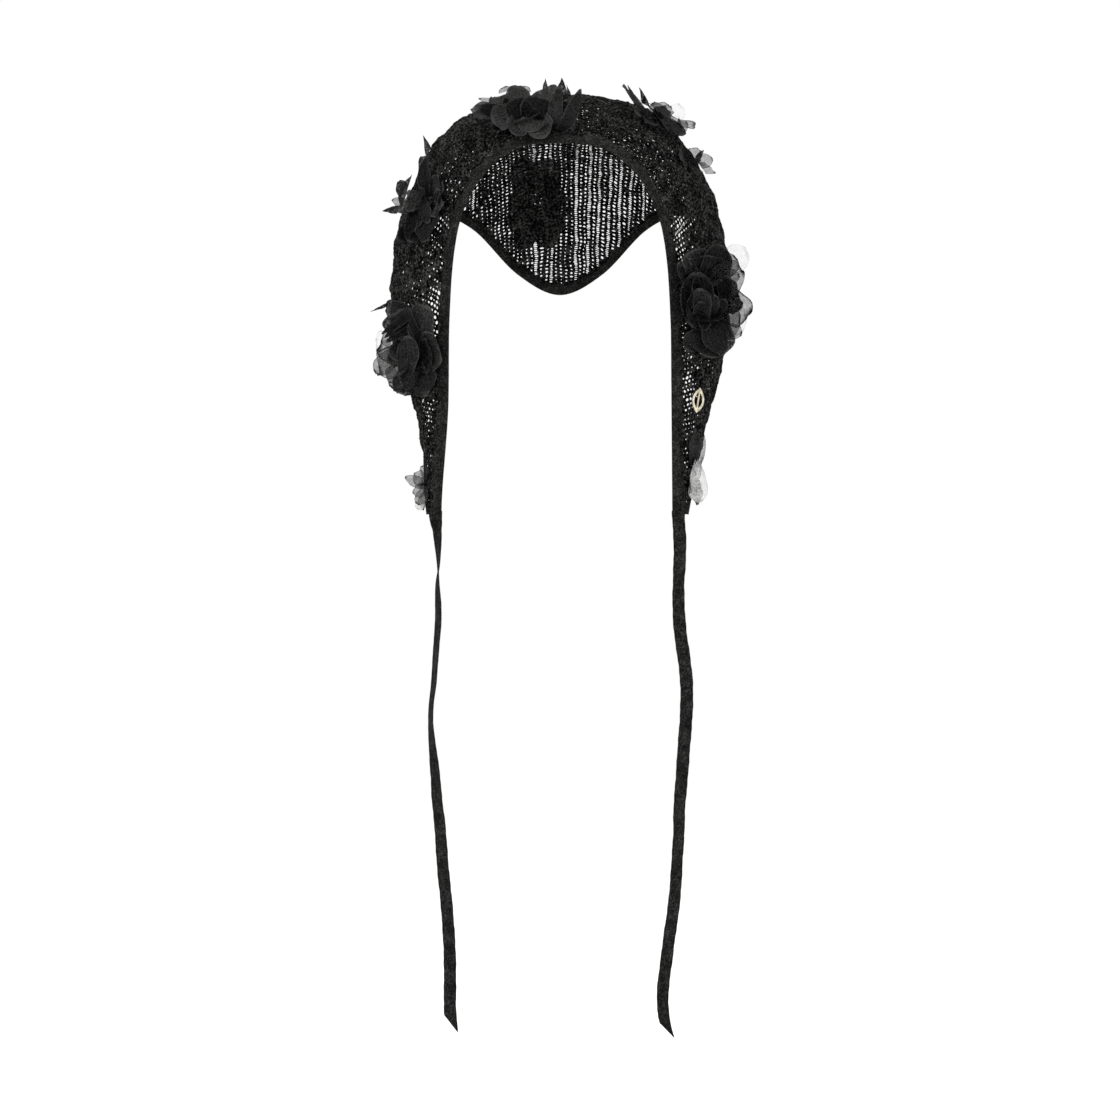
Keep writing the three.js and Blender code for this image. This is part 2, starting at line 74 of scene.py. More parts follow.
# helpers for node trees
def newGroup(name, inputs, outputs):
    group = bpy.data.node_groups.new(name, "ShaderNodeTree")
    group.interface.new_socket(name="Vector", in_out="INPUT", socket_type="NodeSocketVector")
    for label, value in inputs.items():
        socket = group.interface.new_socket(name=label, in_out="INPUT", socket_type="NodeSocketFloat")
        socket.default_value = value
    for label in outputs:
        group.interface.new_socket(name=label, in_out="OUTPUT", socket_type="NodeSocketFloat")
    return group, group.nodes.new("NodeGroupInput").outputs, group.nodes.new("NodeGroupOutput").inputs


def addMath(tree, operation, first, second=None, third=None, clamp=False):
    node = tree.nodes.new("ShaderNodeMath")
    node.operation = operation
    node.use_clamp = clamp
    for socket, value in zip(node.inputs, (first, second, third)):
        if value is None:
            continue
        if isinstance(value, (int, float)):
            socket.default_value = value
        else:
            tree.links.new(value, socket)
    return node.outputs[0]


def addRamp(tree, value, stops):
    ramp = tree.nodes.new("ShaderNodeValToRGB")
    elements = ramp.color_ramp.elements
    for element, (position, colour) in zip(elements, (stops[0], stops[-1])):
        element.position, element.color = position, colour
    for position, colour in stops[1:-1]:
        elements.new(position).color = colour
    tree.links.new(value, ramp.inputs[0])
    return ramp.outputs[0]


def grey(value, warm=0.0):
    return (value * (1 + warm), value, value * (1 - warm), 1)


# Fibre flecks: short light and dark hairs of yarn, from three sizes of noise
fleckPlan = {
    "noises": {"fine": (1, 3), "broad": (0.09, 2), "grain": (0.45, 1)},  # share of the scale, detail
    "spotFrom": 0.56, "spotGain": 6, "broadGain": 0.9, "grainGain": 1.9, "offset": -0.95,
}
fleckGroup, groupIn, groupOut = newGroup("yarnFleck", {"Scale": 900.0, "Flecks": 0.3}, ["Shade", "Height"])
maths = partial(addMath, fleckGroup)
noises = {}
for kind, (share, detail) in fleckPlan["noises"].items():
    noise = fleckGroup.nodes.new("ShaderNodeTexNoise")
    noise.inputs["Detail"].default_value = detail
    fleckGroup.links.new(groupIn["Vector"], noise.inputs["Vector"])
    fleckGroup.links.new(maths("MULTIPLY", groupIn["Scale"], share), noise.inputs["Scale"])
    noises[kind] = noise.outputs[0]
spots = maths("SUBTRACT", noises["fine"], fleckPlan["spotFrom"])
spots = maths("MULTIPLY", spots, fleckPlan["spotGain"], clamp=True)
mottle = maths("MULTIPLY_ADD", noises["broad"], fleckPlan["broadGain"],
               maths("MULTIPLY_ADD", noises["grain"], fleckPlan["grainGain"], fleckPlan["offset"]))
shade = maths("ADD", mottle, maths("MULTIPLY", spots, groupIn["Flecks"]), clamp=True)
fleckGroup.links.new(shade, groupOut["Shade"])
fleckGroup.links.new(noises["fine"], groupOut["Height"])

# Woven relief: warp and weft as two sets of ridges, on the piece's own UV map in metres
weavePlan = {"weftShare": 1.6, "warpHeight": 0.32, "weftHeight": 0.15, "middle": 0.5}
weaveGroup, groupIn, groupOut = newGroup("wovenRelief", {"Pitch": 0.0006, "Lean": 1.0}, ["Height"])
maths = partial(addMath, weaveGroup)
split = weaveGroup.nodes.new("ShaderNodeSeparateXYZ")
weaveGroup.links.new(groupIn["Vector"], split.inputs[0])
turnsPerMetre = maths("DIVIDE", 2 * math.pi, groupIn["Pitch"])
leaning = maths("ADD", split.outputs[0], maths("MULTIPLY", split.outputs[1], groupIn["Lean"]))
ridges = maths("SINE", maths("MULTIPLY", leaning, turnsPerMetre))
weftTurns = maths("MULTIPLY", turnsPerMetre, weavePlan["weftShare"])
threads = maths("SINE", maths("MULTIPLY", split.outputs[1], weftTurns))
height = maths("ADD", maths("MULTIPLY", ridges, weavePlan["warpHeight"]),
               maths("MULTIPLY_ADD", threads, weavePlan["weftHeight"], weavePlan["middle"]))
weaveGroup.links.new(height, groupOut["Height"])


def newMaterial(name):
    material = bpy.data.materials.new(name)
    material.use_nodes = True
    tree = material.node_tree
    return material, tree, tree.nodes["Principled BSDF"].inputs


def placeGroup(tree, group, vector, **values):
    node = tree.nodes.new("ShaderNodeGroup")
    node.node_tree = group
    tree.links.new(vector, node.inputs["Vector"])
    for label, value in values.items():
        node.inputs[label].default_value = value
    return node.outputs


def uvOutput(tree):
    node = tree.nodes.new("ShaderNodeUVMap")
    node.uv_map = "clothUv"
    return node.outputs[0]


def objectOutput(tree):
    return tree.nodes.new("ShaderNodeTexCoord").outputs["Object"]


def placeFlecks(tree, finish):
    return placeGroup(tree, fleckGroup, objectOutput(tree), Scale=finish["fleckScale"], Flecks=finish["flecks"])


def finishSurface(tree, inputs, colour, shade, relief, finish):
    # what the finishes share: colour, a roughness that follows the flecks, fine relief, sheen and gloss
    tree.links.new(colour, inputs["Base Color"])
    roughness = addMath(tree, "MULTIPLY_ADD", shade, finish["roughSpread"], finish["roughness"])
    tree.links.new(roughness, inputs["Roughness"])
    bump = tree.nodes.new("ShaderNodeBump")
    bump.inputs["Distance"].default_value = finish["reliefDepth"]
    tree.links.new(relief, bump.inputs["Height"])
    tree.links.new(bump.outputs[0], inputs["Normal"])
    for label, value in finish["shader"].items():
        inputs[label].default_value = value


netFinish = {
    "stops": [(0.18, grey(0.0006)), (0.5, grey(0.0095, 0.02)), (0.95, grey(0.055, 0.03))], "fleckScale": 1250,
    "flecks": 0.35, "roughness": 0.78, "roughSpread": 0.2, "reliefDepth": 0.0002,
    "shader": {"Specular IOR Level": 0.02},
}
goldFinish = {
    "stops": [(0.2, (0.5, 0.43, 0.3, 1)), (0.8, (0.83, 0.77, 0.62, 1))], "fleckScale": 700, "flecks": 0.2,
    "roughness": 0.14, "roughSpread": 0.25, "reliefDepth": 0.00008, "shader": {"Metallic": 1},
}


def makeFlecked(name, finish):
    material, tree, inputs = newMaterial(name)
    fleck = placeFlecks(tree, finish)
    colour = addRamp(tree, fleck["Shade"], finish["stops"])
    finishSurface(tree, inputs, colour, fleck["Shade"], fleck["Height"], finish)
    return material


tapeFinish = {
    "stops": [(0.25, grey(0.003)), (0.6, grey(0.011, 0.04)), (1.0, grey(0.042, 0.03))], "fleckScale": 1900,
    "flecks": 0.5, "roughness": 0.82, "roughSpread": 0.15, "reliefDepth": 0.00018, "twillPitch": 0.0013,
    "twillLean": 1.3, "weaveTone": 0.35, "fleckTone": 0.85, "toneOffset": -0.03, "fleckRelief": 0.5,
    "shader": {"Sheen Weight": 0.01, "Specular IOR Level": 0.03},
}


def makeTapeTwill():
    material, tree, inputs = newMaterial("tapeTwill")
    weave = placeGroup(tree, weaveGroup, uvOutput(tree), Pitch=tapeFinish["twillPitch"],
                       Lean=tapeFinish["twillLean"])
    fleck = placeFlecks(tree, tapeFinish)
    tone = addMath(tree, "MULTIPLY_ADD", fleck["Shade"], tapeFinish["fleckTone"], tapeFinish["toneOffset"])
    tone = addMath(tree, "MULTIPLY_ADD", weave["Height"], tapeFinish["weaveTone"], tone)
    relief = addMath(tree, "MULTIPLY_ADD", fleck["Height"], tapeFinish["fleckRelief"], weave["Height"])
    finishSurface(tree, inputs, addRamp(tree, tone, tapeFinish["stops"]), fleck["Shade"], relief, tapeFinish)
    return material


chiffonFinish = {
    "fleckScale": 1300, "flecks": 0.4, "roughness": 0.65, "roughSpread": 0.2, "reliefDepth": 0.00016,
    "shader": {"Sheen Weight": 0.02, "Sheen Roughness": 0.4, "Specular IOR Level": 0.03},
    "hemFrom": 0.9, "hemGain": 14, "rootFade": 2.4,
    # the pleats' tone is painted shade and highlight along the pleats
    # the root's tone is painted shade, darker toward each petal's root
    "alphaSpread": 0.24, "pleats": 22, "pleatPaintedShade": 0.05, "pleatRelief": 0.5, "mottle": 0.34, "rootPaintedShade": -0.4,
    "places": (0.12, 0.5, 0.95), "warmth": (0, 0.01, 0.02),
    # each cloth: tones from dark to light, alpha in the open and at the hem, how much lighter the hem is: on the
    # matt chiffon a painted rim highlight, on the others negative, a darker denser hem
    "cloths": {
        "mattChiffon": ((0.0012, 0.0145, 0.048), 0.99, 1.0, 0.42),
        "sheerChiffon": ((0.003, 0.02, 0.08), 0.62, 0.99, -0.35),
        "paleChiffon": ((0.3, 0.62, 0.8), 0.62, 0.85, -0.25),
        "faintChiffon": ((0.35, 0.6, 0.8), 0.16, 0.4, -0.4),
    },
}


def makeChiffon(name, tones, openAlpha, hemAlpha, hemToneAndPaintedHighlight):
    # u runs from -1 to 1 across a petal and v from 0 at its root to 1 at its tip; the root is darkened with painted
    # shade, the rim is denser and on the matt chiffon lightened with a painted highlight, the pleats carry painted
    # shade, and each petal has its own tone
    finish = chiffonFinish
    material, tree, inputs = newMaterial(name)
    maths = partial(addMath, tree)
    split = tree.nodes.new("ShaderNodeSeparateXYZ")
    tree.links.new(uvOutput(tree), split.inputs[0])
    across, out = split.outputs[0], split.outputs[1]
    fleck = placeFlecks(tree, finish)
    rim = maths("MAXIMUM", maths("ABSOLUTE", across), out)
    hem = maths("MULTIPLY", maths("SUBTRACT", rim, finish["hemFrom"]), finish["hemGain"], clamp=True)
    root = maths("SUBTRACT", 1, maths("MULTIPLY", out, finish["rootFade"]), clamp=True)
    uneven = maths("MULTIPLY_ADD", fleck["Shade"], finish["alphaSpread"], openAlpha - finish["alphaSpread"] / 2)
    cover = maths("MULTIPLY_ADD", maths("MAXIMUM", hem, root), hemAlpha - openAlpha, uneven, clamp=True)
    tree.links.new(cover, inputs["Alpha"])
    # the pleats: a ripple across the petal; its relief is real, and its tone is painted shade and highlight
    pleats = maths("SINE", maths("MULTIPLY", across, finish["pleats"]))
    petalTone = tree.nodes.new("ShaderNodeAttribute")
    petalTone.attribute_name = "petalTone"
    tone = maths("MULTIPLY_ADD", fleck["Shade"], finish["mottle"], petalTone.outputs["Fac"])
    # the hem's tone: on the matt chiffon a painted rim highlight, on the sheer cloths a darker, denser hem
    tone = maths("MULTIPLY_ADD", hem, hemToneAndPaintedHighlight, maths("MULTIPLY_ADD", pleats, finish["pleatPaintedShade"], tone))
    # painted shade: each petal darker toward its root, in the flower's recess
    tone = maths("MULTIPLY_ADD", root, finish["rootPaintedShade"], tone, clamp=True)
    stops = zip(finish["places"], (grey(value, warm) for value, warm in zip(tones, finish["warmth"])))
    relief = maths("MULTIPLY_ADD", pleats, finish["pleatRelief"], fleck["Height"])
    finishSurface(tree, inputs, addRamp(tree, tone, list(stops)), fleck["Shade"], relief, finish)
    return material


netYarn = makeFlecked("netYarn", netFinish)
tapeTwill = makeTapeTwill()
chiffons = [makeChiffon(name, *values) for name, values in chiffonFinish["cloths"].items()]
paleGold = makeFlecked("paleGold", goldFinish)
print("finishes made")

# the hood's surface, from the same named sizes and hoops as its solids
hood = {
    "faceHalfWidth": 0.0805, "hoodHalfWidth": 0.123, "height": 0.314, "depth": 0.178, "crownReach": 0.066,
    "clothThickness": 0.0015, "halfEdge": 0.315, "leftSpread": 0.0045, "leftSpreadFrom": 0.72, "leftPinch": 0.007,
    "pinchAt": 0.82, "pinchSpread": 0.12, "browOut": 0.6, "browBack": 0.34, "ribSteps": 241,
    "gridAlong": 801, "gridOver": 201,
    # shares along the front edge, and for each hoop the rows there: across, drop, back
    "places": [0, .1, .2, .3, .4, .55, .7, .85, 1],
    "frontHoop": [(0, .14, 0), (.373, .15, 0), (.677, .208, .01), (.868, .293, .025), (.952, .388, .035),
                  (.993, .541, .045), (1, .691, .045), (1.004, .844, .035), (1.006, .994, .02)],
    "sideHoop": [(0, 0, .37), (.309, .01, .37), (.575, .052, .37), (.795, .134, .37), (.945, .27, .36),
                 (1.004, .462, .3), (.958, .646, .235), (.84, .822, .14), (.715, .99, .04)],
    "backHoop": [(0, .115, .84), (.293, .124, .83), (.553, .159, .79), (.764, .204, .71), (.919, .274, .57),
                 (.996, .449, .42), (.955, .637, .31), (.845, .818, .185), (.745, .99, .068)],
    "neckHoop": [(0, .439, 1), (.268, .39, .965), (.537, .287, .88), (.756, .255, .78), (.894, .296, .68),
                 (.976, .443, .53), (.938, .631, .39), (.838, .815, .24), (.749, .99, .096)],
    # each fold: along, over, depth as a share of hoodHalfWidth, spread along, spread over
    "folds": [(-.62, .35, .024, .05, .3), (-.36, .45, -.022, .05, .25), (.18, .3, .016, .04, .2),
              (.31, .42, -.02, .04, .22), (.52, .5, .024, .05, .3), (.8, .5, -.018, .04, .4),
              (-.83, .5, .018, .04, .4)],
}


def smoothStep(value, low, high):
    share = np.clip((value - low) / (high - low), 0, 1)
    return share * share * (3 - 2 * share)


def hermite(t, start, slopeStart, end, slopeEnd):
    return (start * (2 * t**3 - 3 * t**2 + 1) + slopeStart * (t**3 - 2 * t**2 + t)
            + end * (3 * t**2 - 2 * t**3) + slopeEnd * (t**3 - t**2))


def unit(vectors):
    return vectors / np.linalg.norm(vectors, axis=-1, keepdims=True)


def pointsAlong(at, travelled, line):
    return np.stack([np.interp(at, travelled, line[:, axis]) for axis in range(3)], -1)


def readHoop(hoop, column, distance):
    places, values = np.array(hood["places"]), np.array(hoop)[:, column]
    mirror = -1 if column == 0 else 1
    at = np.concatenate([-places[1:2], places, places[-1:]])
    value = np.concatenate([mirror * values[1:2], values, values[-1:]])
    before = np.clip(np.searchsorted(places, distance) - 1, 0, len(places) - 2)
    start, end, after = before + 1, before + 2, before + 3
    span = at[end] - at[start]
    slopeStart = (value[end] - value[before]) / (at[end] - at[before]) * span
    slopeEnd = (value[after] - value[start]) / (at[after] - at[start]) * span
    return hermite((distance - at[start]) / span, value[start], slopeStart, value[end], slopeEnd)


def hoopPoints(name, halfWidth, along):
    distance, side = np.abs(along), np.sign(along)
    shift = hood["leftSpread"] * smoothStep(distance, hood["leftSpreadFrom"], 1)
    if name != "frontHoop":
        shift = shift - hood["leftPinch"] * np.exp(-(((distance - hood["pinchAt"]) / hood["pinchSpread"]) ** 2))
    shift = np.where(side < 0, shift, 0)
    hoop = hood[name]
    return np.stack([
        side * (readHoop(hoop, 0, distance) * halfWidth + shift),
        readHoop(hoop, 2, distance) * hood["depth"] - hood["crownReach"],
        hood["clothThickness"] / 2 - readHoop(hoop, 1, distance) * hood["height"],
    ], -1)


def smoothCurve(points, steps):
    # centripetal Catmull-Rom through points, an array of (knots, ..., 3), sampled evenly in its parameter
    knots = np.concatenate([2 * points[:1] - points[1:2], points, 2 * points[-1:] - points[-2:-1]])
    spans = np.diff(knots, axis=0)
    gaps = np.maximum(np.linalg.norm(spans, axis=-1, keepdims=True) ** 0.5, 1e-6)
    samples = []
    for place in np.linspace(0, len(points) - 1, steps):
        knot = min(int(place), len(points) - 2)
        a, b, c, d = knots[knot:knot + 4]
        gap0, gap1, gap2 = gaps[knot:knot + 3]
        slope0 = ((b - a) / gap0 - (c - a) / (gap0 + gap1) + (c - b) / gap1) * gap1
        slope1 = ((c - b) / gap1 - (d - b) / (gap1 + gap2) + (d - c) / gap2) * gap1
        samples.append(hermite(place - knot, b, slope0, c, slope1))
    return np.stack(samples)


gridAlong = np.linspace(-1, 1, hood["gridAlong"])
gridOver = np.linspace(0, 1, hood["gridOver"])


def surveyHood():
    # points and outward normals of the cloth on a fine grid, and the length of each rib over it
    front = hoopPoints("frontHoop", hood["faceHalfWidth"], gridAlong)
    side, back, neck = (hoopPoints(name, hood["hoodHalfWidth"], gridAlong)
                        for name in ("sideHoop", "backHoop", "neckHoop"))
    brow = front + (side - front) * np.array([hood["browOut"], hood["browBack"], hood["browOut"]])
    ribs = smoothCurve(np.stack([front, brow, side, back, neck]), hood["ribSteps"]).transpose(1, 0, 2)
    steps = np.linalg.norm(np.diff(ribs, axis=1), axis=-1)
    travelled = np.concatenate([np.zeros((len(ribs), 1)), np.cumsum(steps, axis=1)], axis=1)
    lengths = travelled[:, -1]
    points = np.stack([pointsAlong(gridOver * length, way, rib)
                       for length, way, rib in zip(lengths, travelled, ribs)])
    normals = unit(np.cross(np.gradient(points, gridAlong, axis=0), np.gradient(points, gridOver, axis=1)))
    height = np.zeros(points.shape[:2])
    for foldAlong, foldOver, depth, spreadAlong, spreadOver in hood["folds"]:
        beside = ((gridAlong - foldAlong) / spreadAlong)[:, None]
        beyond = ((gridOver - foldOver) / spreadOver)[None, :]
        height += depth * hood["hoodHalfWidth"] * np.exp(-beside**2 - beyond**2)
    height *= np.sqrt(np.sin(np.pi * gridOver).clip(0))[None, :]
    points += normals * height[..., None]
    return points, normals, lengths


hoodPoints, hoodNormals, ribLengths = surveyHood()


def readGrid(grid, along, over):
    x = (np.clip(along, -1, 1) + 1) / 2 * (len(gridAlong) - 1)
    y = np.clip(over, 0, 1) * (len(gridOver) - 1)
    column = np.minimum(x.astype(int), len(gridAlong) - 2)
    row = np.minimum(y.astype(int), len(gridOver) - 2)
    beside, beyond = (x - column)[..., None], (y - row)[..., None]
    near = grid[column, row] * (1 - beside) + grid[column + 1, row] * beside
    far = grid[column, row + 1] * (1 - beside) + grid[column + 1, row + 1] * beside
    return near * (1 - beyond) + far * beyond


def ribLength(along):
    return np.interp(along, gridAlong, ribLengths)


def clothAt(along, reach):
    # the cloth's middle at a share along the front edge and a reach in metres behind it
    along, reach = np.broadcast_arrays(np.asarray(along, float), np.asarray(reach, float))
    over = reach / ribLength(along)
    return readGrid(hoodPoints, along, over), unit(readGrid(hoodNormals, along, over))


def softNoise(seed, along, reach, waveLength):
    # a smooth uneven height of nine waves, mostly from -1 to 1, the same on each run
    random = np.random.default_rng(seed)
    total = 0.0
    for _ in range(9):
        angle, phase = random.uniform(0, math.tau, 2)
        stretch = waveLength * random.uniform(0.7, 1.5)
        place = along * hood["halfEdge"] * math.cos(angle) + reach * math.sin(angle)
        total = total + np.sin(place * math.tau / stretch + phase)
    return total / 4


print("hood surveyed")

# camera, as the photograph's: level, in front of the face opening
cameraPlan = {"distance": 2.2, "height": -0.3432, "halfField": 0.4032, "sensorWidth": 36, "clipEnd": 50}
cameraData = bpy.data.cameras.new("photoCamera")
cameraData.sensor_width = cameraPlan["sensorWidth"]
cameraData.sensor_fit = "HORIZONTAL"
cameraData.lens = cameraPlan["sensorWidth"] / 2 * cameraPlan["distance"] / cameraPlan["halfField"]
cameraData.clip_end = cameraPlan["clipEnd"]
camera = bpy.data.objects.new("photoCamera", cameraData)
camera.location = (0, -hood["crownReach"] - cameraPlan["distance"], cameraPlan["height"])
camera.rotation_euler = (math.pi / 2, 0, 0)
scene.collection.objects.link(camera)
scene.camera = camera

# ties: flat tape that hangs from the front binding's ends and is cut slantwise
ties = {
    "width": 0.0094, "thickness": 0.0012, "cut": 0.0065, "cutLength": 0.016, "tapeWidth": 0.0095,
    "stationGap": 0.0022, "tuck": 0.004, "walkSteps": 600,
    "wobbles": [(0.00012, 310), (0.0001, 770)],  # how far each edge wavers, turns in radians a metre
    # each row: sideways, back and down from the corner in mm, and the turn in degrees
    "left": [(0, 0, .3, 10), (1.1, .5, 10, 50), (1.8, 1.5, 23, 68), (2, 2.5, 36, 86), (1.3, 3, 49.7, 106),
             (1.8, 3, 64, 117), (1.8, 2.5, 76.3, 118), (.6, 2, 92.9, 116), (-.4, 1.5, 107.3, 114),
             (-1.4, 1, 121.7, 112), (-3.1, .5, 136, 109), (-3.5, 0, 148.3, 110), (-2.7, -.5, 161.3, 118),
             (-1.4, -1, 174.2, 130), (.1, -1.5, 190, 138), (1.1, -1.5, 204.5, 144), (2.9, -1, 220.3, 149),
             (4, -.5, 234.7, 153), (5.4, 0, 254.9, 156), (7.6, .5, 276.5, 158), (9, 1, 294.5, 160),
             (10.2, 1, 316, 162), (10.4, 1, 337.7, 164), (10.4, .5, 354.2, 164), (11.2, 0, 366.5, 164)],
    "right": [(0, 0, .3, 4), (1.1, .5, 18.7, 6), (.9, 1, 33.8, 16), (.2, 2, 49.7, 28), (.4, 3, 69.1, 14),
              (1.8, 3.5, 86.4, 4), (4, 3, 101.5, 0), (5.8, 2, 118, 0), (6.1, 1, 131, 4), (5.4, 0, 148.3, 6),
              (4, -1, 165.6, 10), (2.5, -1.5, 187.2, 16), (.5, -1.5, 213.1, 26), (.4, -1, 226.1, 29),
              (-.9, -.5, 247.7, 30), (-2.2, 0, 269.3, 24), (-4, .5, 286.6, 20), (-6.5, 1, 303.8, 20),
              (-8.6, 1.5, 321.1, 20), (-10.8, 1.5, 338.4, 22), (-11.3, 1, 351.4, 26), (-10, 0, 364.3, 34),
              (-8.2, -1, 371, 40)],
    # the tape's section: share of the half width, share of the half thickness; the selvedges stand a little proud
    "section": [(-1, 0), (-.985, .7), (-.93, 1), (-.86, .95), (-.8, .62), (-.5, .7), (0, .74), (.5, .7),
                (.8, .62), (.86, .95), (.93, 1), (.985, .7), (1, 0)],
}


def loopSection(half):
    # closes a section's upper half into a full loop
    return half + [(across, -height) for across, height in reversed(half[1:-1])]


def tubeMesh(name, rings, uvs, material):
    # a closed tube of rings, which are (stations, corners, 3), with flat ends and its normals outward
    stations, corners = rings.shape[:2]
    faces = []
    for station in range(stations - 1):
        for corner in range(corners):
            a, b = station * corners + corner, station * corners + (corner + 1) % corners
            faces.append((a, b, b + corners, a + corners))
    faces.append(tuple(reversed(range(corners))))
    faces.append(tuple(range((stations - 1) * corners, stations * corners)))
    piece = addMesh(name, rings.reshape(-1, 3), faces, [material], uvs.reshape(-1, 2))
    shell = bmesh.new()
    shell.from_mesh(piece.data)
    bmesh.ops.recalc_face_normals(shell, faces=shell.faces)
    shell.to_mesh(piece.data)
    shell.free()
    return piece


def makeTie(name, corner, route, nodeName):
    start, _ = clothAt(corner, ties["tapeWidth"] / 2)
    edges, _ = clothAt(np.array([corner, corner]), np.array([0, ties["tapeWidth"]]))
    start[2] = min(start[2], edges[:, 2].min())
    rows = np.array(route)
    knots = start + rows[:, :3] * np.array([1, 1, -1]) / 1000
    walk = smoothCurve(np.concatenate([[knots[0] + np.array([0, 0, ties["tuck"]])], knots]), ties["walkSteps"])
    steps = np.concatenate([[0], np.cumsum(np.linalg.norm(np.diff(walk, axis=0), axis=1))])
    length = steps[-1]
    stations = int(length / ties["stationGap"])
    at = np.linspace(0, length, stations)
    path = pointsAlong(at, steps, walk)
    knotAt = np.interp(-rows[:, 2] / 1000, walk[::-1, 2] - start[2], steps[::-1])
    turn = np.radians(np.interp(at, knotAt, rows[:, 3]))
    heading = unit(np.gradient(path, axis=0))
    normal = unit(np.cross(heading, np.stack([np.cos(turn), np.sin(turn), np.zeros(stations)], -1)))
    across = np.cross(normal, heading)
    slant = ties["cut"] * smoothStep(at, length - ties["cutLength"], length) * np.sign(np.cos(turn[-1]))
    (broad, slow), (fine, quick) = ties["wobbles"]
    phase = np.random.default_rng(len(name)).uniform(0, 6)
    wobble = broad * np.sin(at * slow + phase) + fine * np.sin(at * quick)
    section = loopSection(ties["section"])
    rings = np.empty((stations, len(section), 3))
    uvs = np.empty((stations, len(section), 2))
    for index, (share, lift) in enumerate(section):
        width = share * (ties["width"] / 2 + wobble)
        rings[:, index] = (path + across * width[:, None] + normal * lift * ties["thickness"] / 2
                           + heading * (share * slant)[:, None])
        uvs[:, index, 0] = at
        uvs[:, index, 1] = share * ties["width"] / 2
    tie = tubeMesh(name, rings, uvs, tapeTwill)
    standFor(tie, nodeName)
    print(name, "length", round(float(length), 4))


makeTie("leftTieTape", -1.0, ties["left"], "left_tie")
makeTie("rightTieTape", 1.0, ties["right"], "right_tie")

# bindings: twill tape folded over the front edge and the neck edge
binding = {
    "frontWidth": 0.0095, "neckWidth": 0.0085, "thickness": 0.0022, "stationGap": 0.0015, "leastWidth": 0.0102,
    "waver": 0.00018, "waverLength": 0.021, "sag": 0.00012, "sagLength": 0.013,
    "section": [(0, 0), (.02, .55), (.07, .9), (.14, 1), (.3, 1), (.5, .98), (.7, .98), (.82, .86), (.87, .62),
                (.91, .8), (.96, .72), (.99, .4), (1, 0)],
}


def makeBinding(name, width, isFront, nodeName):
    edgeLength = 2 * hood["halfEdge"]
    stations = int(edgeLength / binding["stationGap"])
    along = np.linspace(-1, 1, stations)
    section = loopSection(binding["section"])
    rings = np.empty((stations, len(section), 3))
    uvs = np.empty((stations, len(section), 2))
    ripple = softNoise(5 if isFront else 6, along, 0 * along, binding["waverLength"])
    for corner, (share, lift) in enumerate(section):
        trim = share * (width + binding["waver"] * ripple)
        point, normal = clothAt(along, trim if isFront else ribLength(along) - trim)
        sag = binding["sag"] * softNoise(9, along, np.full(stations, share * width), binding["sagLength"])
        rings[:, corner] = point + normal * (lift * binding["thickness"] / 2 + sag * abs(lift))[:, None]
        uvs[:, corner, 0] = (along + 1) * edgeLength / 2
        uvs[:, corner, 1] = share * width
    piece = tubeMesh(name, rings, uvs, tapeTwill)
    standFor(piece, nodeName)


makeBinding("frontBindingTape", binding["frontWidth"], True, "front_binding")
makeBinding("neckBindingTape", binding["neckWidth"], False, "neck_binding")

# the net: columns of knitted cells, each a ring of cloth round a hole of its own size and slant
net = {
    "end": 0.998, "tuck": 0.0012, "frontTape": 0.0095, "neckTape": 0.0085, "seed": 41, "closed": 0.08,
    "dotPitch": 0.0033, "dotRow": 0.0028, "ladderPitch": 0.0029, "ladderRow": 0.0015,
    "ladders": [-0.34, -0.2, -0.055, -0.02, 0.036, 0.064, 0.086, 0.11, 0.134, 0.158, 0.19, 0.29, 0.38],
    "yarn": 0.00036, "rimYarn": 0.00014, "knot": 0.0004, "margin": 0.0004, "endFade": 12,
    # unevenness: noise seed, size, wave length; the drift is one of openness
    "pucker": (17, 0.0009, 0.017), "crinkle": (29, 0.0004, 0.0052), "sway": (23, 0.0006, 0.02),
    "drift": (31, 0.26, 0.022), "scatter": 0.26,
    # where the flaps, the front part and a sparse strip left of the middle begin and end, and how far they close
    "flap": (0.42, 0.58), "front": (0.36, 0.5), "sparse": (0.04, 0.12, 0.2, 0.28), "flapClosed": 0.4,
    "sparseClosed": 0.28, "denseClosed": 0.25, "openFrom": 0.3, "frontGrowth": 0.55, "sizes": (0.5, 1.1),
    # holes: half sizes as shares of the cell, the least and most of their size, and how square they are
    "holes": {"ladder": (0.38, 0.75, 0.32, 0.7, 1, 0.6), "dot": (0.22, 0, 0.25, 0, 9, 0.85)}, "mostHalf": 0.41,
    "rimJitter": 0.00005, "holeJitter": 0.00012, "slantShare": 0.6,
    # patches of the front part that are open, as seen from the front: across mm, up mm, spreads mm, strength
    "patches": [(-90, 177.8, 6, 24, 1.1), (-97.9, 104.4, 6, 14, 1), (-92.2, 74.2, 4, 6, .7),
                (-85, 241.9, 3.5, 5, .5), (-115.2, 228.2, 4, 7, .7), (-64.8, 290.9, 14, 12, 1.2),
                (-78.5, 268.6, 9, 14, 1.2), (-88, 284, 12, 10, .5), (32.4, 320.4, 11, 12, 1.5),
                (19, 314.6, 12, 10, 1.1), (64.8, 284.4, 26, 24, 1.25), (86.4, 243.4, 5, 36, .95),
                (91.4, 122.4, 5, 30, 1.05), (42, 305, 14, 8, .7)],
}


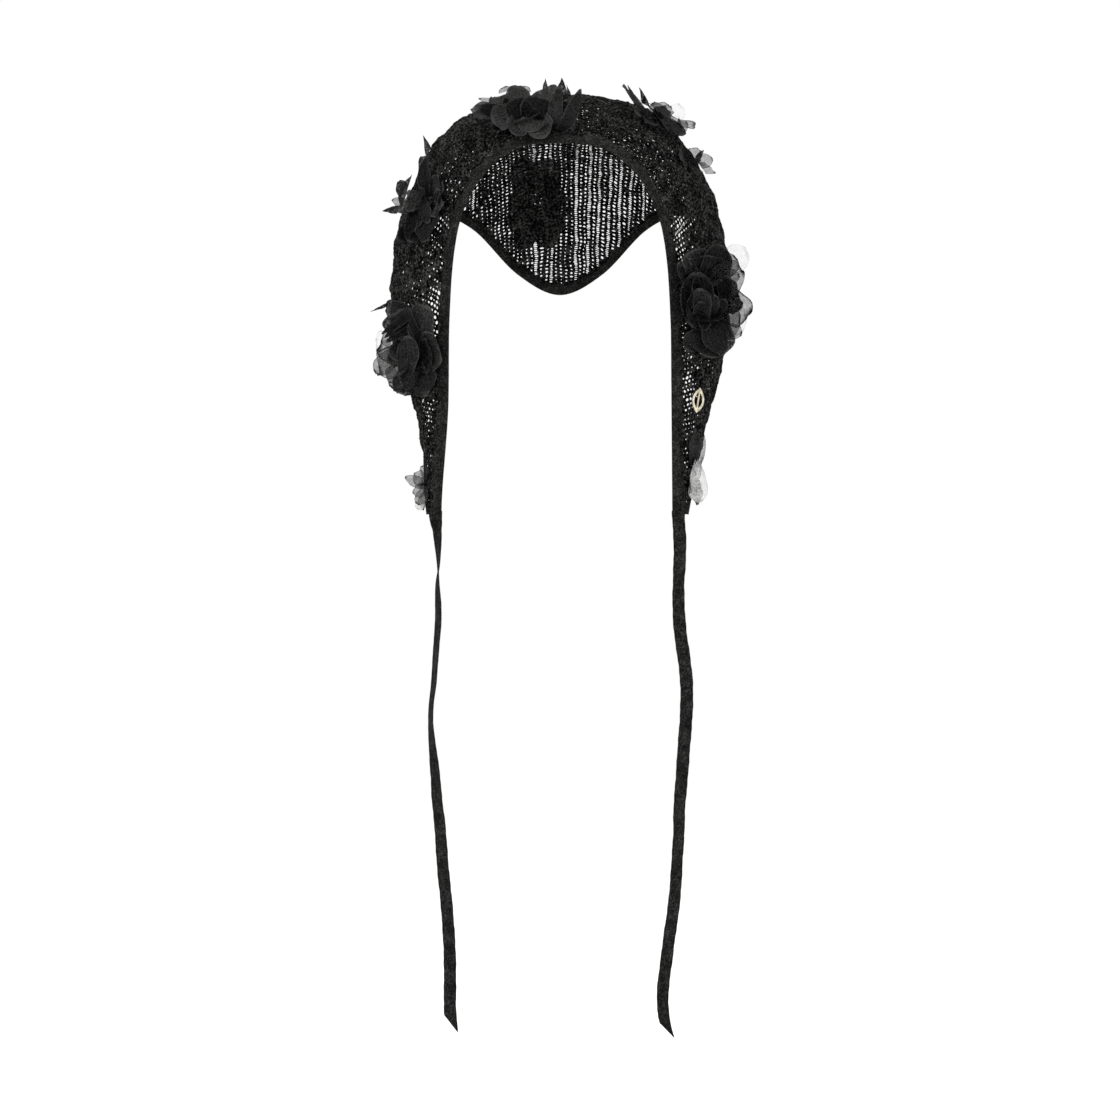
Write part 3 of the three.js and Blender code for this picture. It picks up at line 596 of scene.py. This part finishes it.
def planColumns():
    # column edges from tie corner to tie corner: a ladder at each of the pattern's places, dots between them
    random = np.random.default_rng(net["seed"])
    half = net["ladderPitch"] / 2 / hood["halfEdge"]
    edges, kinds = [-net["end"]], []
    for place in net["ladders"] + [None]:
        target = net["end"] if place is None else place - half
        count = max(1, round((target - edges[-1]) * hood["halfEdge"] / net["dotPitch"]))
        widths = random.uniform(0.8, 1.2, count)
        widths *= (target - edges[-1]) / widths.sum()
        for width in widths:
            edges.append(edges[-1] + width)
            kinds.append(random.choice(["dot", "dot", "dot", "dense"]))
        if place is not None:
            edges.append(place + half)
            kinds.append("ladder")
    return np.array(edges), kinds


def uneven(kind, along, reach):
    seed, size, waveLength = net[kind]
    return size * softNoise(seed, along, reach, waveLength)


def netLimit(along):
    return ribLength(along) - net["neckTape"] + net["tuck"]


def openness(along, share, reach, random):
    # how open the cells are: most in the back panel, little in the front part but for its open patches
    flap = smoothStep(np.abs(along), *net["flap"])
    front = 1 - smoothStep(share, *net["front"])
    point, _ = clothAt(along, reach)
    nearer = cameraPlan["distance"] / (point[:, 1] - camera.location[1])
    across, up = point[:, 0] * nearer * 1000, (point[:, 2] - cameraPlan["height"]) * nearer * 1000
    sparse = smoothStep(-along, *net["sparse"][:2]) * (1 - smoothStep(-along, *net["sparse"][2:]))
    behind = 1 - net["flapClosed"] * flap - net["sparseClosed"] * sparse
    behind = behind + uneven("drift", along, reach)
    value = behind * (1 - front) + net["closed"] * front
    for patchAcross, patchUp, spreadAcross, spreadUp, strength in net["patches"]:
        distance = ((across - patchAcross) / spreadAcross) ** 2 + ((up - patchUp) / spreadUp) ** 2
        value = value + strength * front * np.exp(-distance)
    return value + random.normal(0, net["scatter"], np.shape(value)), front


def layNet(along, reach, height):
    sway = uneven("sway", along, reach) * np.minimum(1, (1 - np.abs(along)) * net["endFade"])
    point, normal = clothAt(along + sway / hood["halfEdge"], reach)
    height = height + uneven("pucker", along, reach) + uneven("crinkle", along, reach)
    return point + normal * height[..., None]


def planHoles(kind, value, front, middle, pitch, columnWidth, random):
    # how far each hole's eight corners are from the cell's centre, across and down
    cells = len(value)
    acrossShare, leastAcross, downShare, leastDown, most, power = net["holes"][kind]
    size = np.clip(value, *net["sizes"]) * (1 + net["frontGrowth"] * front)
    lean = 0.3 + 0.7 * smoothStep(abs(middle), *net["flap"])
    isLadder = kind == "ladder"
    slant = random.normal(0, 0.08, cells) if isLadder else random.normal(lean * np.sign(middle), 0.4, cells)
    halfAcross = acrossShare * columnWidth * np.clip(size, leastAcross, most)
    halfDown = downShare * pitch * np.clip(size, leastDown, most)
    halfAcross = np.minimum(halfAcross * random.uniform(0.65, 1.3, cells), net["mostHalf"] * columnWidth)
    halfDown = np.minimum(halfDown * random.uniform(0.6, 1.3, cells), net["mostHalf"] * pitch)
    angles = np.radians([225, 270, 315, 0, 45, 90, 135, 180])
    ringX, ringY = (np.sign(part) * np.abs(part) ** power for part in (np.cos(angles), np.sin(angles)))
    offX = halfAcross[:, None] * ringX + random.normal(0, net["rimJitter"], (cells, 8))
    offY = halfDown[:, None] * ringY + random.normal(0, net["rimJitter"], (cells, 8))
    cosine, sine = np.cos(slant)[:, None], np.sin(slant)[:, None]
    holeX = offX * cosine - offY * sine * net["slantShare"]
    holeY = offX * sine * net["slantShare"] + offY * cosine
    return holeX + random.normal(0, net["holeJitter"], cells)[:, None], holeY


def buildColumn(kind, left, right, random):
    # vertices, faces and UVs of one column; rows run at a constant reach behind the front tape
    pitch = net["ladderRow"] if kind == "ladder" else net["dotRow"] * random.uniform(0.92, 1.08)
    start = net["frontTape"] - net["tuck"] - pitch * random.uniform(0, 1)
    ends = netLimit(np.array([left, right]))
    cells = int(max(1, math.ceil((ends.max() - start) / pitch)))
    rows = start + pitch * (np.arange(cells + 1) + np.r_[0, random.uniform(-0.12, 0.12, cells)])
    low, high = rows[:-1], rows[1:]
    middle, centre = (left + right) / 2, (low + high) / 2
    value, front = openness(np.full(cells, middle), centre / ribLength(middle), centre, random)
    if kind == "dense":
        value = value - net["denseClosed"]
    isOpen = (value > net["openFrom"]) & (high <= ends.min() - net["margin"]) & (np.arange(cells) > 0)
    columnWidth = (right - left) * hood["halfEdge"]
    holeX, holeY = planHoles(kind if kind == "ladder" else "dot", value, front, middle, pitch, columnWidth, random)

    def spot(beside, reach):
        along = np.broadcast_to(middle + beside * (right - left) / 2, np.broadcast(beside, reach).shape)
        return along, np.minimum(reach, netLimit(along))

    # edge rows have three points, middles two, holes eight; each has an upper and a lower copy
    holeAlong = middle + holeX / hood["halfEdge"]
    places = [spot(np.array([-1, 0, 1])[None, :], rows[:, None]), spot(np.array([-1, 1])[None, :], centre[:, None]),
              (holeAlong, np.minimum(centre[:, None] + holeY, netLimit(holeAlong)))]
    edgeLift = net["knot"] * random.uniform(0.2, 1.2, (cells + 1, 3))
    midLift = net["knot"] * random.uniform(-0.4, 0.6, (cells, 2))
    rimLift = np.where(isOpen, -0.00005, net["knot"] * random.uniform(0.2, 2.2, cells))[:, None]
    rimYarn = np.where(isOpen, net["rimYarn"], net["yarn"])[:, None]
    layers = []
    for sign, raised in ((1, 1), (-1, 0)):
        heights = (sign * net["yarn"] + raised * edgeLift, sign * net["yarn"] + raised * midLift,
                   sign * rimYarn + rimLift + 0 * holeAlong)
        layers += [layNet(*place, height).reshape(-1, 3) for place, height in zip(places, heights)]
    uv = np.concatenate([np.stack([along.ravel() * hood["halfEdge"], reach.ravel()], 1) for along, reach in places])
    perLayer = len(uv)
    index = np.arange(cells)[:, None]
    edge, mid = 3 * index, 3 * (cells + 1) + 2 * index
    outer = np.concatenate([edge, edge + 1, edge + 2, mid + 1, edge + 5, edge + 4, edge + 3, mid], 1)
    inner = 3 * (cells + 1) + 2 * cells + 8 * index + np.arange(8)
    keep = low < ends.max() - 1e-6
    ahead = (np.arange(8) + 1) % 8
    top = np.stack([outer, outer[:, ahead], inner[:, ahead], inner], -1)[keep].reshape(-1, 4)
    hole = inner[isOpen & keep]
    wall = np.stack([hole, hole[:, ahead], hole[:, ahead] + perLayer, hole + perLayer], -1).reshape(-1, 4)
    quads = [top, top[:, ::-1] + perLayer, wall]
    # the column's two long sides and two ends
    kept = outer[keep]
    lastRow = 3 * (np.nonzero(keep)[0][-1] + 1)
    runs = [(kept[:, [0, 7, 6]], False), (kept[:, [2, 3, 4]], True), (np.array([[0, 1, 2]]), True),
            (np.array([[0, 1, 2]]) + lastRow, False)]
    for run, flip in runs:
        for a, b in ((run[:, 0], run[:, 1]), (run[:, 1], run[:, 2])):
            side = np.stack([a, b, b + perLayer, a + perLayer], 1)
            quads.append(side[:, ::-1] if flip else side)
    closed = inner[~isOpen & keep]
    caps = np.concatenate([closed, closed[:, ::-1] + perLayer])
    return np.concatenate(layers), np.concatenate(quads), caps, np.concatenate([uv, uv])


def makeNet():
    edges, kinds = planColumns()
    random = np.random.default_rng(net["seed"] + 1)
    columns = [buildColumn(kind, edges[i], edges[i + 1], random) for i, kind in enumerate(kinds)]
    weights = np.cumsum([len(quads) * 2 + len(caps) * 6 for _, quads, caps, _ in columns])
    names = ["netLeftFlap", "netLeftCrown", "netRightCrown", "netRightFlap"]
    panels = np.minimum((weights - 1) * len(names) // weights[-1], len(names) - 1)
    for panel, name in enumerate(names):
        vertices, faces, uvs, base = [], [], [], 0
        chosen = np.nonzero(panels == panel)[0]
        for i in chosen:
            points, quads, caps, uv = columns[i]
            vertices.append(points)
            uvs.append(uv)
            faces.extend((quads + base).tolist() + (caps + base).tolist())
            base += len(points)
        piece = addMesh(name, np.concatenate(vertices), faces, [netYarn], np.concatenate(uvs))
        standFor(piece, "hood_net")


makeNet()

# flowers of layered chiffon petals, each a grid that is laid over the cloth
flowerPlan = {
    "named": ["along", "over", "tone", "hug", "tip", "laid", "curled"],
    "rows": 11, "columns": 9, "tone": 0.33, "toneSpread": (-0.22, 0.26), "tipSpread": (-0.25, 0.2),
    "rootRadius": 0.004, "rootHeight": 0.0004, "seat": 0.00115, "fullness": 1.2,
    "seenRoot": 0.003, "seenLift": 8, "seenRuffling": 0.7, "layGap": 0.0012, "layStep": 0.0003, "layDepth": 0.03,
    "sightReach": 0.0025, "ruffle": 0.1, "pleat": 0.014, "fray": 0.00024, "stripWidth": 0.03,
    # inner petals: jitter of their turn, then ranges of reach, width, lift and cup
    "inner": {"laid": (25, (.5, .82), (.75, 1.15), (22, 46), (-.1, .45)),
              "curled": (20, (.32, .46), (.5, .75), (56, 76), (.3, .7))},
    # shares of the half width at places from a petal's root to its tip
    "places": [0, .3, .62, .82, .93, 1], "rounded": [.34, .8, .98, .93, .74, .34],
    "pointed": [.5, .9, .72, .36, .17, .02],
}
# plan: the flower's place along and over the hood, its tone, the share of their lift that its petals keep, how
# pointed they are, and how many are laid and curled
# petals: turn, reach mm, width mm, lift, cup, cloth (0 matt, 1 sheer, 2 pale, 3 faint); trailing: the first three
# seen: petals that show from the front: across mm, up mm, heading, tilt forward, length mm, width mm, cup,
# pointedness, cloth, and for some a tone of their own
flowers = {
    "crown_flower_left": {
        "plan": (-.085, .108, .02, .75, .45, 5, 3),
        "petals": [
            (2, 36, 20, 14, .25, 0), (36, 26, 18, 24, .3, 0), (78, 24, 24, 20, .2, 0), (140, 36, 14, 14, .5, 0),
            (176, 30, 20, 12, .2, 0), (232, 17, 22, 26, .25, 0), (312, 22, 24, 18, .25, 0)],
        "seen": [
            (-37, 326.2, 162, 0, 23, 10, .2, .8, 1, -.15), (-34.6, 322.6, 172, 10, 26, 13, .2, .5, 0),
            (-28.8, 332.6, 95, 0, 10, 18, .2, .1, 1), (-38.2, 333.4, 112, 0, 9, 12, .2, .2, 1),
            (-9.4, 331.9, 92, 0, 16, 6, .2, 1, 0), (1.4, 328.3, 90, 4, 20, 11, .1, 1, 0, -.1),
            (7.2, 328.3, 102, 4, 15, 4, .6, 1, 0), (-28.8, 322.6, 205, 35, 30, 22, .2, .25, 0),
            (-23, 318.2, 228, 40, 27, 22, .2, .2, 0), (-21.6, 318.2, 318, 40, 30, 24, .2, .2, 0),
            (-19.4, 320.4, 280, 45, 26, 24, .2, .15, 0), (0, 306.7, 66, 6, 36, 12, .3, .75, 0, -.05),
            (-5, 308.2, 80, 10, 36, 13, .3, .75, 0, .02), (-18, 313.9, 80, 24, 24, 24, .25, .05, 0),
            (-23, 315.4, 118, 28, 24, 20, .25, .1, 0), (-18, 316.8, 100, 40, 14, 13, .4, .3, 0)]},
    "crown_flower_right": {
        "plan": (.195, .27, -.12, .5, .75, 2, 1),
        "petals": [
            (340, 34, 18, 24, .3, 1), (30, 24, 17, 34, .3, 1), (135, 34, 9, 30, .5, 0), (215, 18, 14, 14, .2, 0),
            (290, 24, 15, 18, .25, 1)],
        "seen": [
            (57.6, 325.4, 116, 0, 20, 4.5, .3, 1, 0), (63.4, 325.4, 111, 0, 17, 6, .3, 1, 0),
            (80.6, 316.8, 128, 0, 19, 13, .15, .5, 1), (80.6, 318.2, 50, 0, 17, 16, .1, .2, 3),
            (89.3, 308.9, 88, 0, 14, 6, .2, 1, 0), (86.4, 311, 40, 0, 11, 11, .15, .4, 1),
            (64.8, 322.6, -35, 14, 34, 12, .3, .6, 0), (72, 316.8, -30, 20, 26, 12, .3, .5, 0),
            (68.4, 322.6, 150, 10, 14, 10, .3, .6, 0)]},
    "temple_flower_left": {
        "plan": (-.355, .25, -.08, .5, .65, 2, 1),
        "petals": [
            (350, 28, 15, 30, .35, 0), (72, 36, 13, 12, .4, 0), (125, 20, 18, 16, .2, 0),
            (195, 22, 20, 14, .25, 0), (250, 36, 22, 12, .2, 0), (290, 34, 18, 18, .3, 0)],
        "seen": [
            (-95, 290.9, 106, 0, 16, 6, .2, 1, 0), (-115.2, 252.7, 182, 0, 15, 7, .3, 1, 0),
            (-115.2, 257, 160, 0, 10, 9, .2, .5, 1), (-106.6, 275, 245, 15, 26, 15, .2, .4, 0),
            (-102.2, 254.2, 256, 20, 33, 19, .25, .35, 0), (-97.2, 259.2, 275, 24, 22, 14, .25, .4, 0),
            (-112.3, 262.1, 120, 6, 14, 12, .2, .3, 0), (-105.1, 243.4, 236, 22, 22, 14, .3, .4, 0)]},
    "temple_petals_right": {
        "plan": (.3, .36, -.05, .5, .85, 1, 0),
        "petals": [
            (20, 19, 12, 34, .3, 1), (285, 20, 12, 20, .3, 1), (170, 13, 11, 16, .2, 0)],
        "seen": [
            (102.2, 288, 15, 0, 12, 13, .15, .4, 1), (102.2, 285.8, -25, 4, 14, 9, .2, .85, 1),
            (101.5, 290.2, 52, 0, 10, 6, .2, 1, 0)]},
    "cheek_flower_left": {
        "plan": (-.655, .28, -.06, .5, .3, 2, 0),
        "petals": [
            (10, 30, 24, 38, .2, 1), (62, 34, 24, 24, .3, 0), (112, 36, 26, 14, .2, 0), (180, 25, 28, 14, .25, 0),
            (248, 34, 28, 14, .2, 0), (298, 32, 28, 28, .25, 1), (336, 32, 22, 40, .3, 1)],
        "seen": [
            (-124.6, 185, 204, 0, 16, 3, .3, .9, 0), (-125.3, 182.2, 348, 10, 36, 16, .15, .4, 0, -.22),
            (-126.7, 154.8, 180, 0, 10, 10, .1, 1, 1), (-125.3, 149.8, 184, 0, 15, 28, 0, 0, 3),
            (-118.1, 149.8, 228, 5, 24, 16, .2, .15, 1), (-116.6, 139.7, 250, 8, 16, 15, .2, .3, 1),
            (-108, 136.8, 252, 20, 24, 24, .15, .2, 0, -.12), (-100.8, 132.5, 290, 24, 16, 18, .15, .1, 0, -.05),
            (-108, 177.8, 217, 20, 31, 8, .5, .7, 0, -.05), (-109.4, 173.5, 219, 28, 30, 8, .5, .7, 0, -.2),
            (-111.6, 168.5, 222, 34, 27, 8, .5, .6, 0, 0), (-112.3, 156.2, 236, 36, 23, 17, .2, .1, 0, .04),
            (-108, 127, 96, 26, 42, 20, .3, .35, 0, .03)]},
    "cheek_flower_right": {
        "plan": (.53, .25, -.2, .85, .3, 4, 3),
        "petals": [
            (30, 34, 26, 34, .25, 1), (74, 38, 26, 20, .2, 0), (120, 34, 26, 14, .2, 0), (180, 25, 28, 16, .3, 0),
            (232, 34, 26, 16, .3, 0), (280, 50, 30, 16, .2, 0), (328, 38, 26, 30, .25, 1)],
        "seen": [
            (113.8, 207.4, 36, 8, 19, 20, .1, .2, 1), (113.8, 211.7, 22, 0, 25, 22, .1, .1, 3),
            (116.6, 203, 8, 8, 15, 14, .2, .4, 1), (118.1, 171.4, 10, 0, 18, 30, .1, .3, 3),
            (115.2, 171.4, 0, 8, 17, 26, .1, .2, 1), (116.6, 165.6, -14, 6, 17, 14, .2, .4, 1),
            (100.8, 167, 96, 18, 44, 26, .45, .1, 0, -.22), (101.5, 168.5, 92, 30, 34, 20, .5, .1, 0, .06),
            (103, 169.9, 86, 40, 24, 14, .5, .1, 0, -.12), (106.6, 174.2, 62, 42, 27, 11, .4, .1, 0, .12),
            (109.4, 174.2, 50, 34, 24, 10, .4, .1, 0, -.02), (109.4, 167, 262, 30, 30, 30, .2, .15, 0, -.02),
            (103.7, 165.6, 240, 25, 24, 22, .2, .2, 0, -.12), (100.8, 187.2, 118, 12, 34, 16, .3, .3, 0, -.04),
            (112.3, 178.6, 70, 15, 30, 14, .3, .2, 0, -.28)]},
    "corner_petals_left": {
        "plan": (-.935, .44, 0, .35, .7, 0, 0),
        "petals": [
            (30, 17, 13, 38, .3, 1), (270, 20, 13, 20, .3, 1), (325, 17, 11, 30, .3, 1)],
        "seen": [
            (-100.8, 54, 160, 0, 15, 10, .15, .6, 1), (-95.8, 51.8, 232, 4, 15, 10, .2, .2, 1),
            (-97.9, 42.5, 222, 0, 9, 9, .2, .3, 2), (-96.5, 59, 118, 4, 10, 8, .2, .4, 1)]},
    "corner_petals_right": {
        "plan": (.905, .42, 0, .35, .55, 0, 0),
        "petals": [
            (95, 30, 14, 12, .3, 0), (15, 8, 9, 30, .3, 2), (278, 26, 14, 16, .3, 0)],
        "seen": [
            (103, 69.8, 80, 0, 21, 7, .2, .6, 1), (98.6, 69.8, 272, 8, 30, 16, .12, .12, 2),
            (91, 47, 264, 6, 17, 4, .2, .9, 0), (100.8, 66.2, 250, 14, 14, 8, .2, .4, 1)]},
    "nape_flower": {
        "plan": (-.05, .75, -.1, .9, .35, 6, 4),
        "trailing": [
            (258, 44, 24), (284, 42, 22)],
        "petals": [
            (0, 22, 22, 16, .25, 0), (62, 34, 24, 16, .25, 0), (116, 36, 24, 16, .25, 0),
            (180, 22, 22, 16, .25, 0), (242, 34, 24, 16, .25, 0), (298, 36, 24, 16, .25, 0)]},
}


def petalShape(reach, width, lift, cup, tip, root, random, ruffling=1.0):
    # how far out, across and up each point of a petal is: it widens, ruffles along its rim and rounds off or points
    rows, columns = flowerPlan["rows"], flowerPlan["columns"]
    s = np.linspace(0, 1, rows)[:, None]
    u = np.linspace(-1, 1, columns)[None, :]
    distance = root + (reach - root) * s
    bend = math.radians(lift) * (0.7 + 0.6 * s)
    run, rise = distance * np.cos(bend) + 0 * u, (distance - root) * np.sin(bend)
    outline = [r + (p - r) * tip for r, p in zip(flowerPlan["rounded"], flowerPlan["pointed"])]
    half = width / 2 * np.interp(s, flowerPlan["places"], outline)
    phase, waves = random.uniform(0, 6.3), random.uniform(1.1, 2.3)
    lean = random.uniform(-0.12, 0.12) * ruffling
    ruffle = width * flowerPlan["ruffle"] * ruffling * s * np.abs(u) ** 1.5
    ruffle = ruffle * np.sin(waves * math.tau * s + phase + 1.4 * u)
    pleat = width * flowerPlan["pleat"] * ruffling * np.cos(u * random.uniform(7, 11) + phase) * (0.4 + 0.6 * s)
    rise = rise + cup * half * u**2 + ruffle + pleat + lean * half * u
    fray = random.normal(0, flowerPlan["fray"], (rows, columns)) * ((np.abs(u) > 0.95) | (s > 0.97))
    across = u * half + fray + 0.1 * ruffling * width * np.sin(2.2 * s + phase) * s
    return (run + fray * 1.4).ravel(), across.ravel(), rise.ravel()


def petalGrid():
    # the quads of one petal, and its UVs: u from -1 to 1 across it and v from 0 to 1 along it
    rows, columns = flowerPlan["rows"], flowerPlan["columns"]
    row, column = np.meshgrid(np.arange(rows - 1), np.arange(columns - 1), indexing="ij")
    a = (row * columns + column).ravel()
    v, u = np.meshgrid(np.linspace(0, 1, rows), np.linspace(-1, 1, columns), indexing="ij")
    return np.stack([a, a + columns, a + columns + 1, a + 1], 1), np.stack([u, v], -1).reshape(-1, 2)


def placePetal(root, outward, beside, rising, shape):
    run, across, rise = shape
    return root + outward * run[:, None] + beside * across[:, None] + rising * rise[:, None]


def flowerAxes(plan):
    point, normal = clothAt(plan["along"], plan["over"] * float(ribLength(plan["along"])))
    steepest = np.array([0, 1.0, 0]) if abs(normal[2]) > 0.95 else np.array([0, 0, 1.0])
    up = unit(steepest - normal * steepest.dot(normal))
    return point + normal * flowerPlan["seat"], np.cross(up, normal), up, normal


sightDepth = hoodPoints[..., 1] - camera.location[1]
sightGrid = np.stack([hoodPoints[..., 0], hoodPoints[..., 2] - cameraPlan["height"]], -1)
sightGrid = sightGrid * cameraPlan["distance"] / sightDepth[..., None]


def clothInSight(x, z):
    # the nearest point of the cloth on the line of sight through x, z, in mm in the plane of the front edge
    gap = np.linalg.norm(sightGrid - np.array([x, z]) / 1000, axis=-1)
    close = gap < max(flowerPlan["sightReach"], gap.min() * 1.05)
    depth = np.where(close, hoodPoints[..., 1], np.inf)
    column, row = np.unravel_index(np.argmin(depth), depth.shape)
    return hoodPoints[column, row], hoodNormals[column, row]


treePoints = hoodPoints[::4, ::2].reshape(-1, 3)
treeNormals = hoodNormals[::4, ::2].reshape(-1, 3)
clothTree = KDTree(len(treePoints))
for index, point in enumerate(treePoints):
    clothTree.insert(point, index)
clothTree.balance()


def layOver(points, gap):
    # lifts the points that are nearer to the cloth than the gap, or inside it
    laid = points.copy()
    for row, point in enumerate(points):
        nearest, index, _ = clothTree.find(point)
        height = float((point - np.array(nearest)).dot(treeNormals[index]))
        if -flowerPlan["layDepth"] < height < gap:
            laid[row] = point + treeNormals[index] * (gap - height)
    return laid


def ringPetals(plan, random):
    # the outer petals, trailing ones, those laid over them, and the curled ones of the middle, in the flower's axes
    hug = plan["hug"]
    petals = [(0, 0, turn, reach / 1000, width / 1000 * flowerPlan["fullness"], lift * hug, cup, cloth)
              for turn, reach, width, lift, cup, cloth in plan["petals"]]
    meanReach, meanWidth = (np.mean([petal[part] for petal in petals]) for part in (3, 4))
    for turn, reach, width in plan["trailing"]:
        petals.append((0, 0, turn, reach / 1000, width / 1000, 10, 0.2, 0))
    for kind, (jitter, *ranges) in flowerPlan["inner"].items():
        for index in range(plan[kind]):
            turn = 360 * index / plan[kind] + random.uniform(-jitter, jitter)
            away, spin = 0, 0
            if kind == "laid":
                away = random.uniform(0, 0.22) * meanReach
                spin = math.radians(turn + random.uniform(-60, 60))
            reach, width, lift, cup = (random.uniform(*limits) for limits in ranges)
            lift = lift * hug if kind == "laid" else lift
            petals.append((away * math.cos(spin), away * math.sin(spin), turn, meanReach * reach, meanWidth * width,
                           lift, cup, 0))
    return petals


def makeFlower(nodeName, plan, number):
    random = np.random.default_rng(100 + number)
    origin, sideways, up, normal = flowerAxes(plan)
    side = 1 if plan["along"] > 0 else -1
    petals = []
    for x, y, turn, reach, width, lift, cup, cloth in ringPetals(plan, random):
        angle = math.radians(turn if side > 0 else 180 - turn)
        outward = sideways * math.cos(angle) + up * math.sin(angle)
        root = origin + normal * flowerPlan["rootHeight"] + sideways * x * side + up * y
        tip = float(np.clip(plan["tip"] + random.uniform(*flowerPlan["tipSpread"]), 0, 1))
        shape = petalShape(reach, width, lift, cup, tip, flowerPlan["rootRadius"], random)
        petals.append((placePetal(root, outward, np.cross(normal, outward), normal, shape), cloth, []))
    for x, z, heading, tilt, length, width, cup, tip, cloth, *ownTone in plan["seen"]:
        root, clothNormal = clothInSight(x, z)
        angle, tilt = math.radians(heading), math.radians(tilt)
        outward = np.array([math.cos(angle) * math.cos(tilt), -math.sin(tilt), math.sin(angle) * math.cos(tilt)])
        beside = np.array([-math.sin(angle), 0, math.cos(angle)])
        rising = np.cross(outward, beside)
        if rising[1] > 0:
            beside, rising = -beside, -rising
        root = root + clothNormal * flowerPlan["layGap"] - outward * flowerPlan["seenRoot"]
        reach = length / 1000 + flowerPlan["seenRoot"]
        shape = petalShape(reach, width / 1000, flowerPlan["seenLift"], cup, tip, 0, random,
                           flowerPlan["seenRuffling"])
        petals.append((placePetal(root, outward, beside, rising, shape), cloth, ownTone))
    quads, uv = petalGrid()
    points, faces, cloths, tones = [], [], [], []
    for order, (flat, cloth, ownTone) in enumerate(petals):
        points.append(layOver(flat, flowerPlan["layGap"] + flowerPlan["layStep"] * order))
        tone = ownTone[0] if ownTone else plan["tone"] + random.uniform(*flowerPlan["toneSpread"])
        tones.extend([flowerPlan["tone"] + tone] * len(flat))
        faces.extend((quads + order * len(flat)).tolist())
        cloths.extend([cloth] * len(quads))
    first, *others = nodeName.split("_")
    name = first + "".join(word.capitalize() for word in others) + "Chiffon"
    flower = addMesh(name, np.concatenate(points), faces, chiffons, np.tile(uv, (len(petals), 1)), cloths)
    flower.data.attributes.new("petalTone", "FLOAT", "POINT").data.foreach_set("value", tones)
    bpy.context.view_layer.objects.active = flower
    finer = flower.modifiers.new("finer", "SUBSURF")
    finer.levels = finer.render_levels = 1
    bpy.ops.object.modifier_apply(modifier="finer")
    standFor(flower, nodeName)
    area, width = clothArea(flower), flowerPlan["stripWidth"]
    print(name, "area", round(area, 5))


for number, (nodeName, flower) in enumerate(flowers.items()):
    named = dict(zip(flowerPlan["named"], flower["plan"]))
    makeFlower(nodeName, {"trailing": [], "seen": [], **flower, **named}, number)

# the metal leaf keeps its solid and takes the gold
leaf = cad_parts["metal_leaf"]
leaf.data.materials.clear()
leaf.data.materials.append(paleGold)

# floor and light
floorPlan = {"height": -0.82, "half": 6.0, "noise": 2, "stops": [(0.3, grey(0.985)), (0.7, grey(1))],
             "roughness": 0.9}


def makeStage():
    material, tree, inputs = newMaterial("studioFloor")
    noise = tree.nodes.new("ShaderNodeTexNoise")
    noise.inputs["Scale"].default_value = floorPlan["noise"]
    tree.links.new(objectOutput(tree), noise.inputs["Vector"])
    tree.links.new(addRamp(tree, noise.outputs[0], floorPlan["stops"]), inputs["Base Color"])
    inputs["Roughness"].default_value = floorPlan["roughness"]
    corners = [(x * floorPlan["half"], y * floorPlan["half"], floorPlan["height"])
               for x, y in ((-1, -1), (1, -1), (1, 1), (-1, 1))]
    addMesh("studioFloor", corners, [(0, 1, 2, 3)], [material])


makeStage()
world = bpy.data.worlds.new("studio")
world.use_nodes = True
background = world.node_tree.nodes["Background"]
background.inputs["Color"].default_value = (1, 1, 1, 1)
background.inputs["Strength"].default_value = 1
scene.world = world
# each light: place, size, power
lights = {"keyLight": ((-1.4, -2.2, 1.3), 1.2, 26), "fillLight": ((1.8, -1.8, 0.4), 1.5, 12),
          "topLight": ((0.1, 0.6, 1.9), 1.2, 22)}
lightTarget = Vector((0, 0, -0.2))
for name, (place, size, power) in lights.items():
    data = bpy.data.lights.new(name, "AREA")
    data.size, data.energy = size, power
    light = bpy.data.objects.new(name, data)
    light.location = place
    light.rotation_euler = (lightTarget - Vector(place)).to_track_quat("-Z", "Y").to_euler()
    scene.collection.objects.link(light)
scene.view_settings.view_transform = "Standard"

bpy.context.view_layer.update()
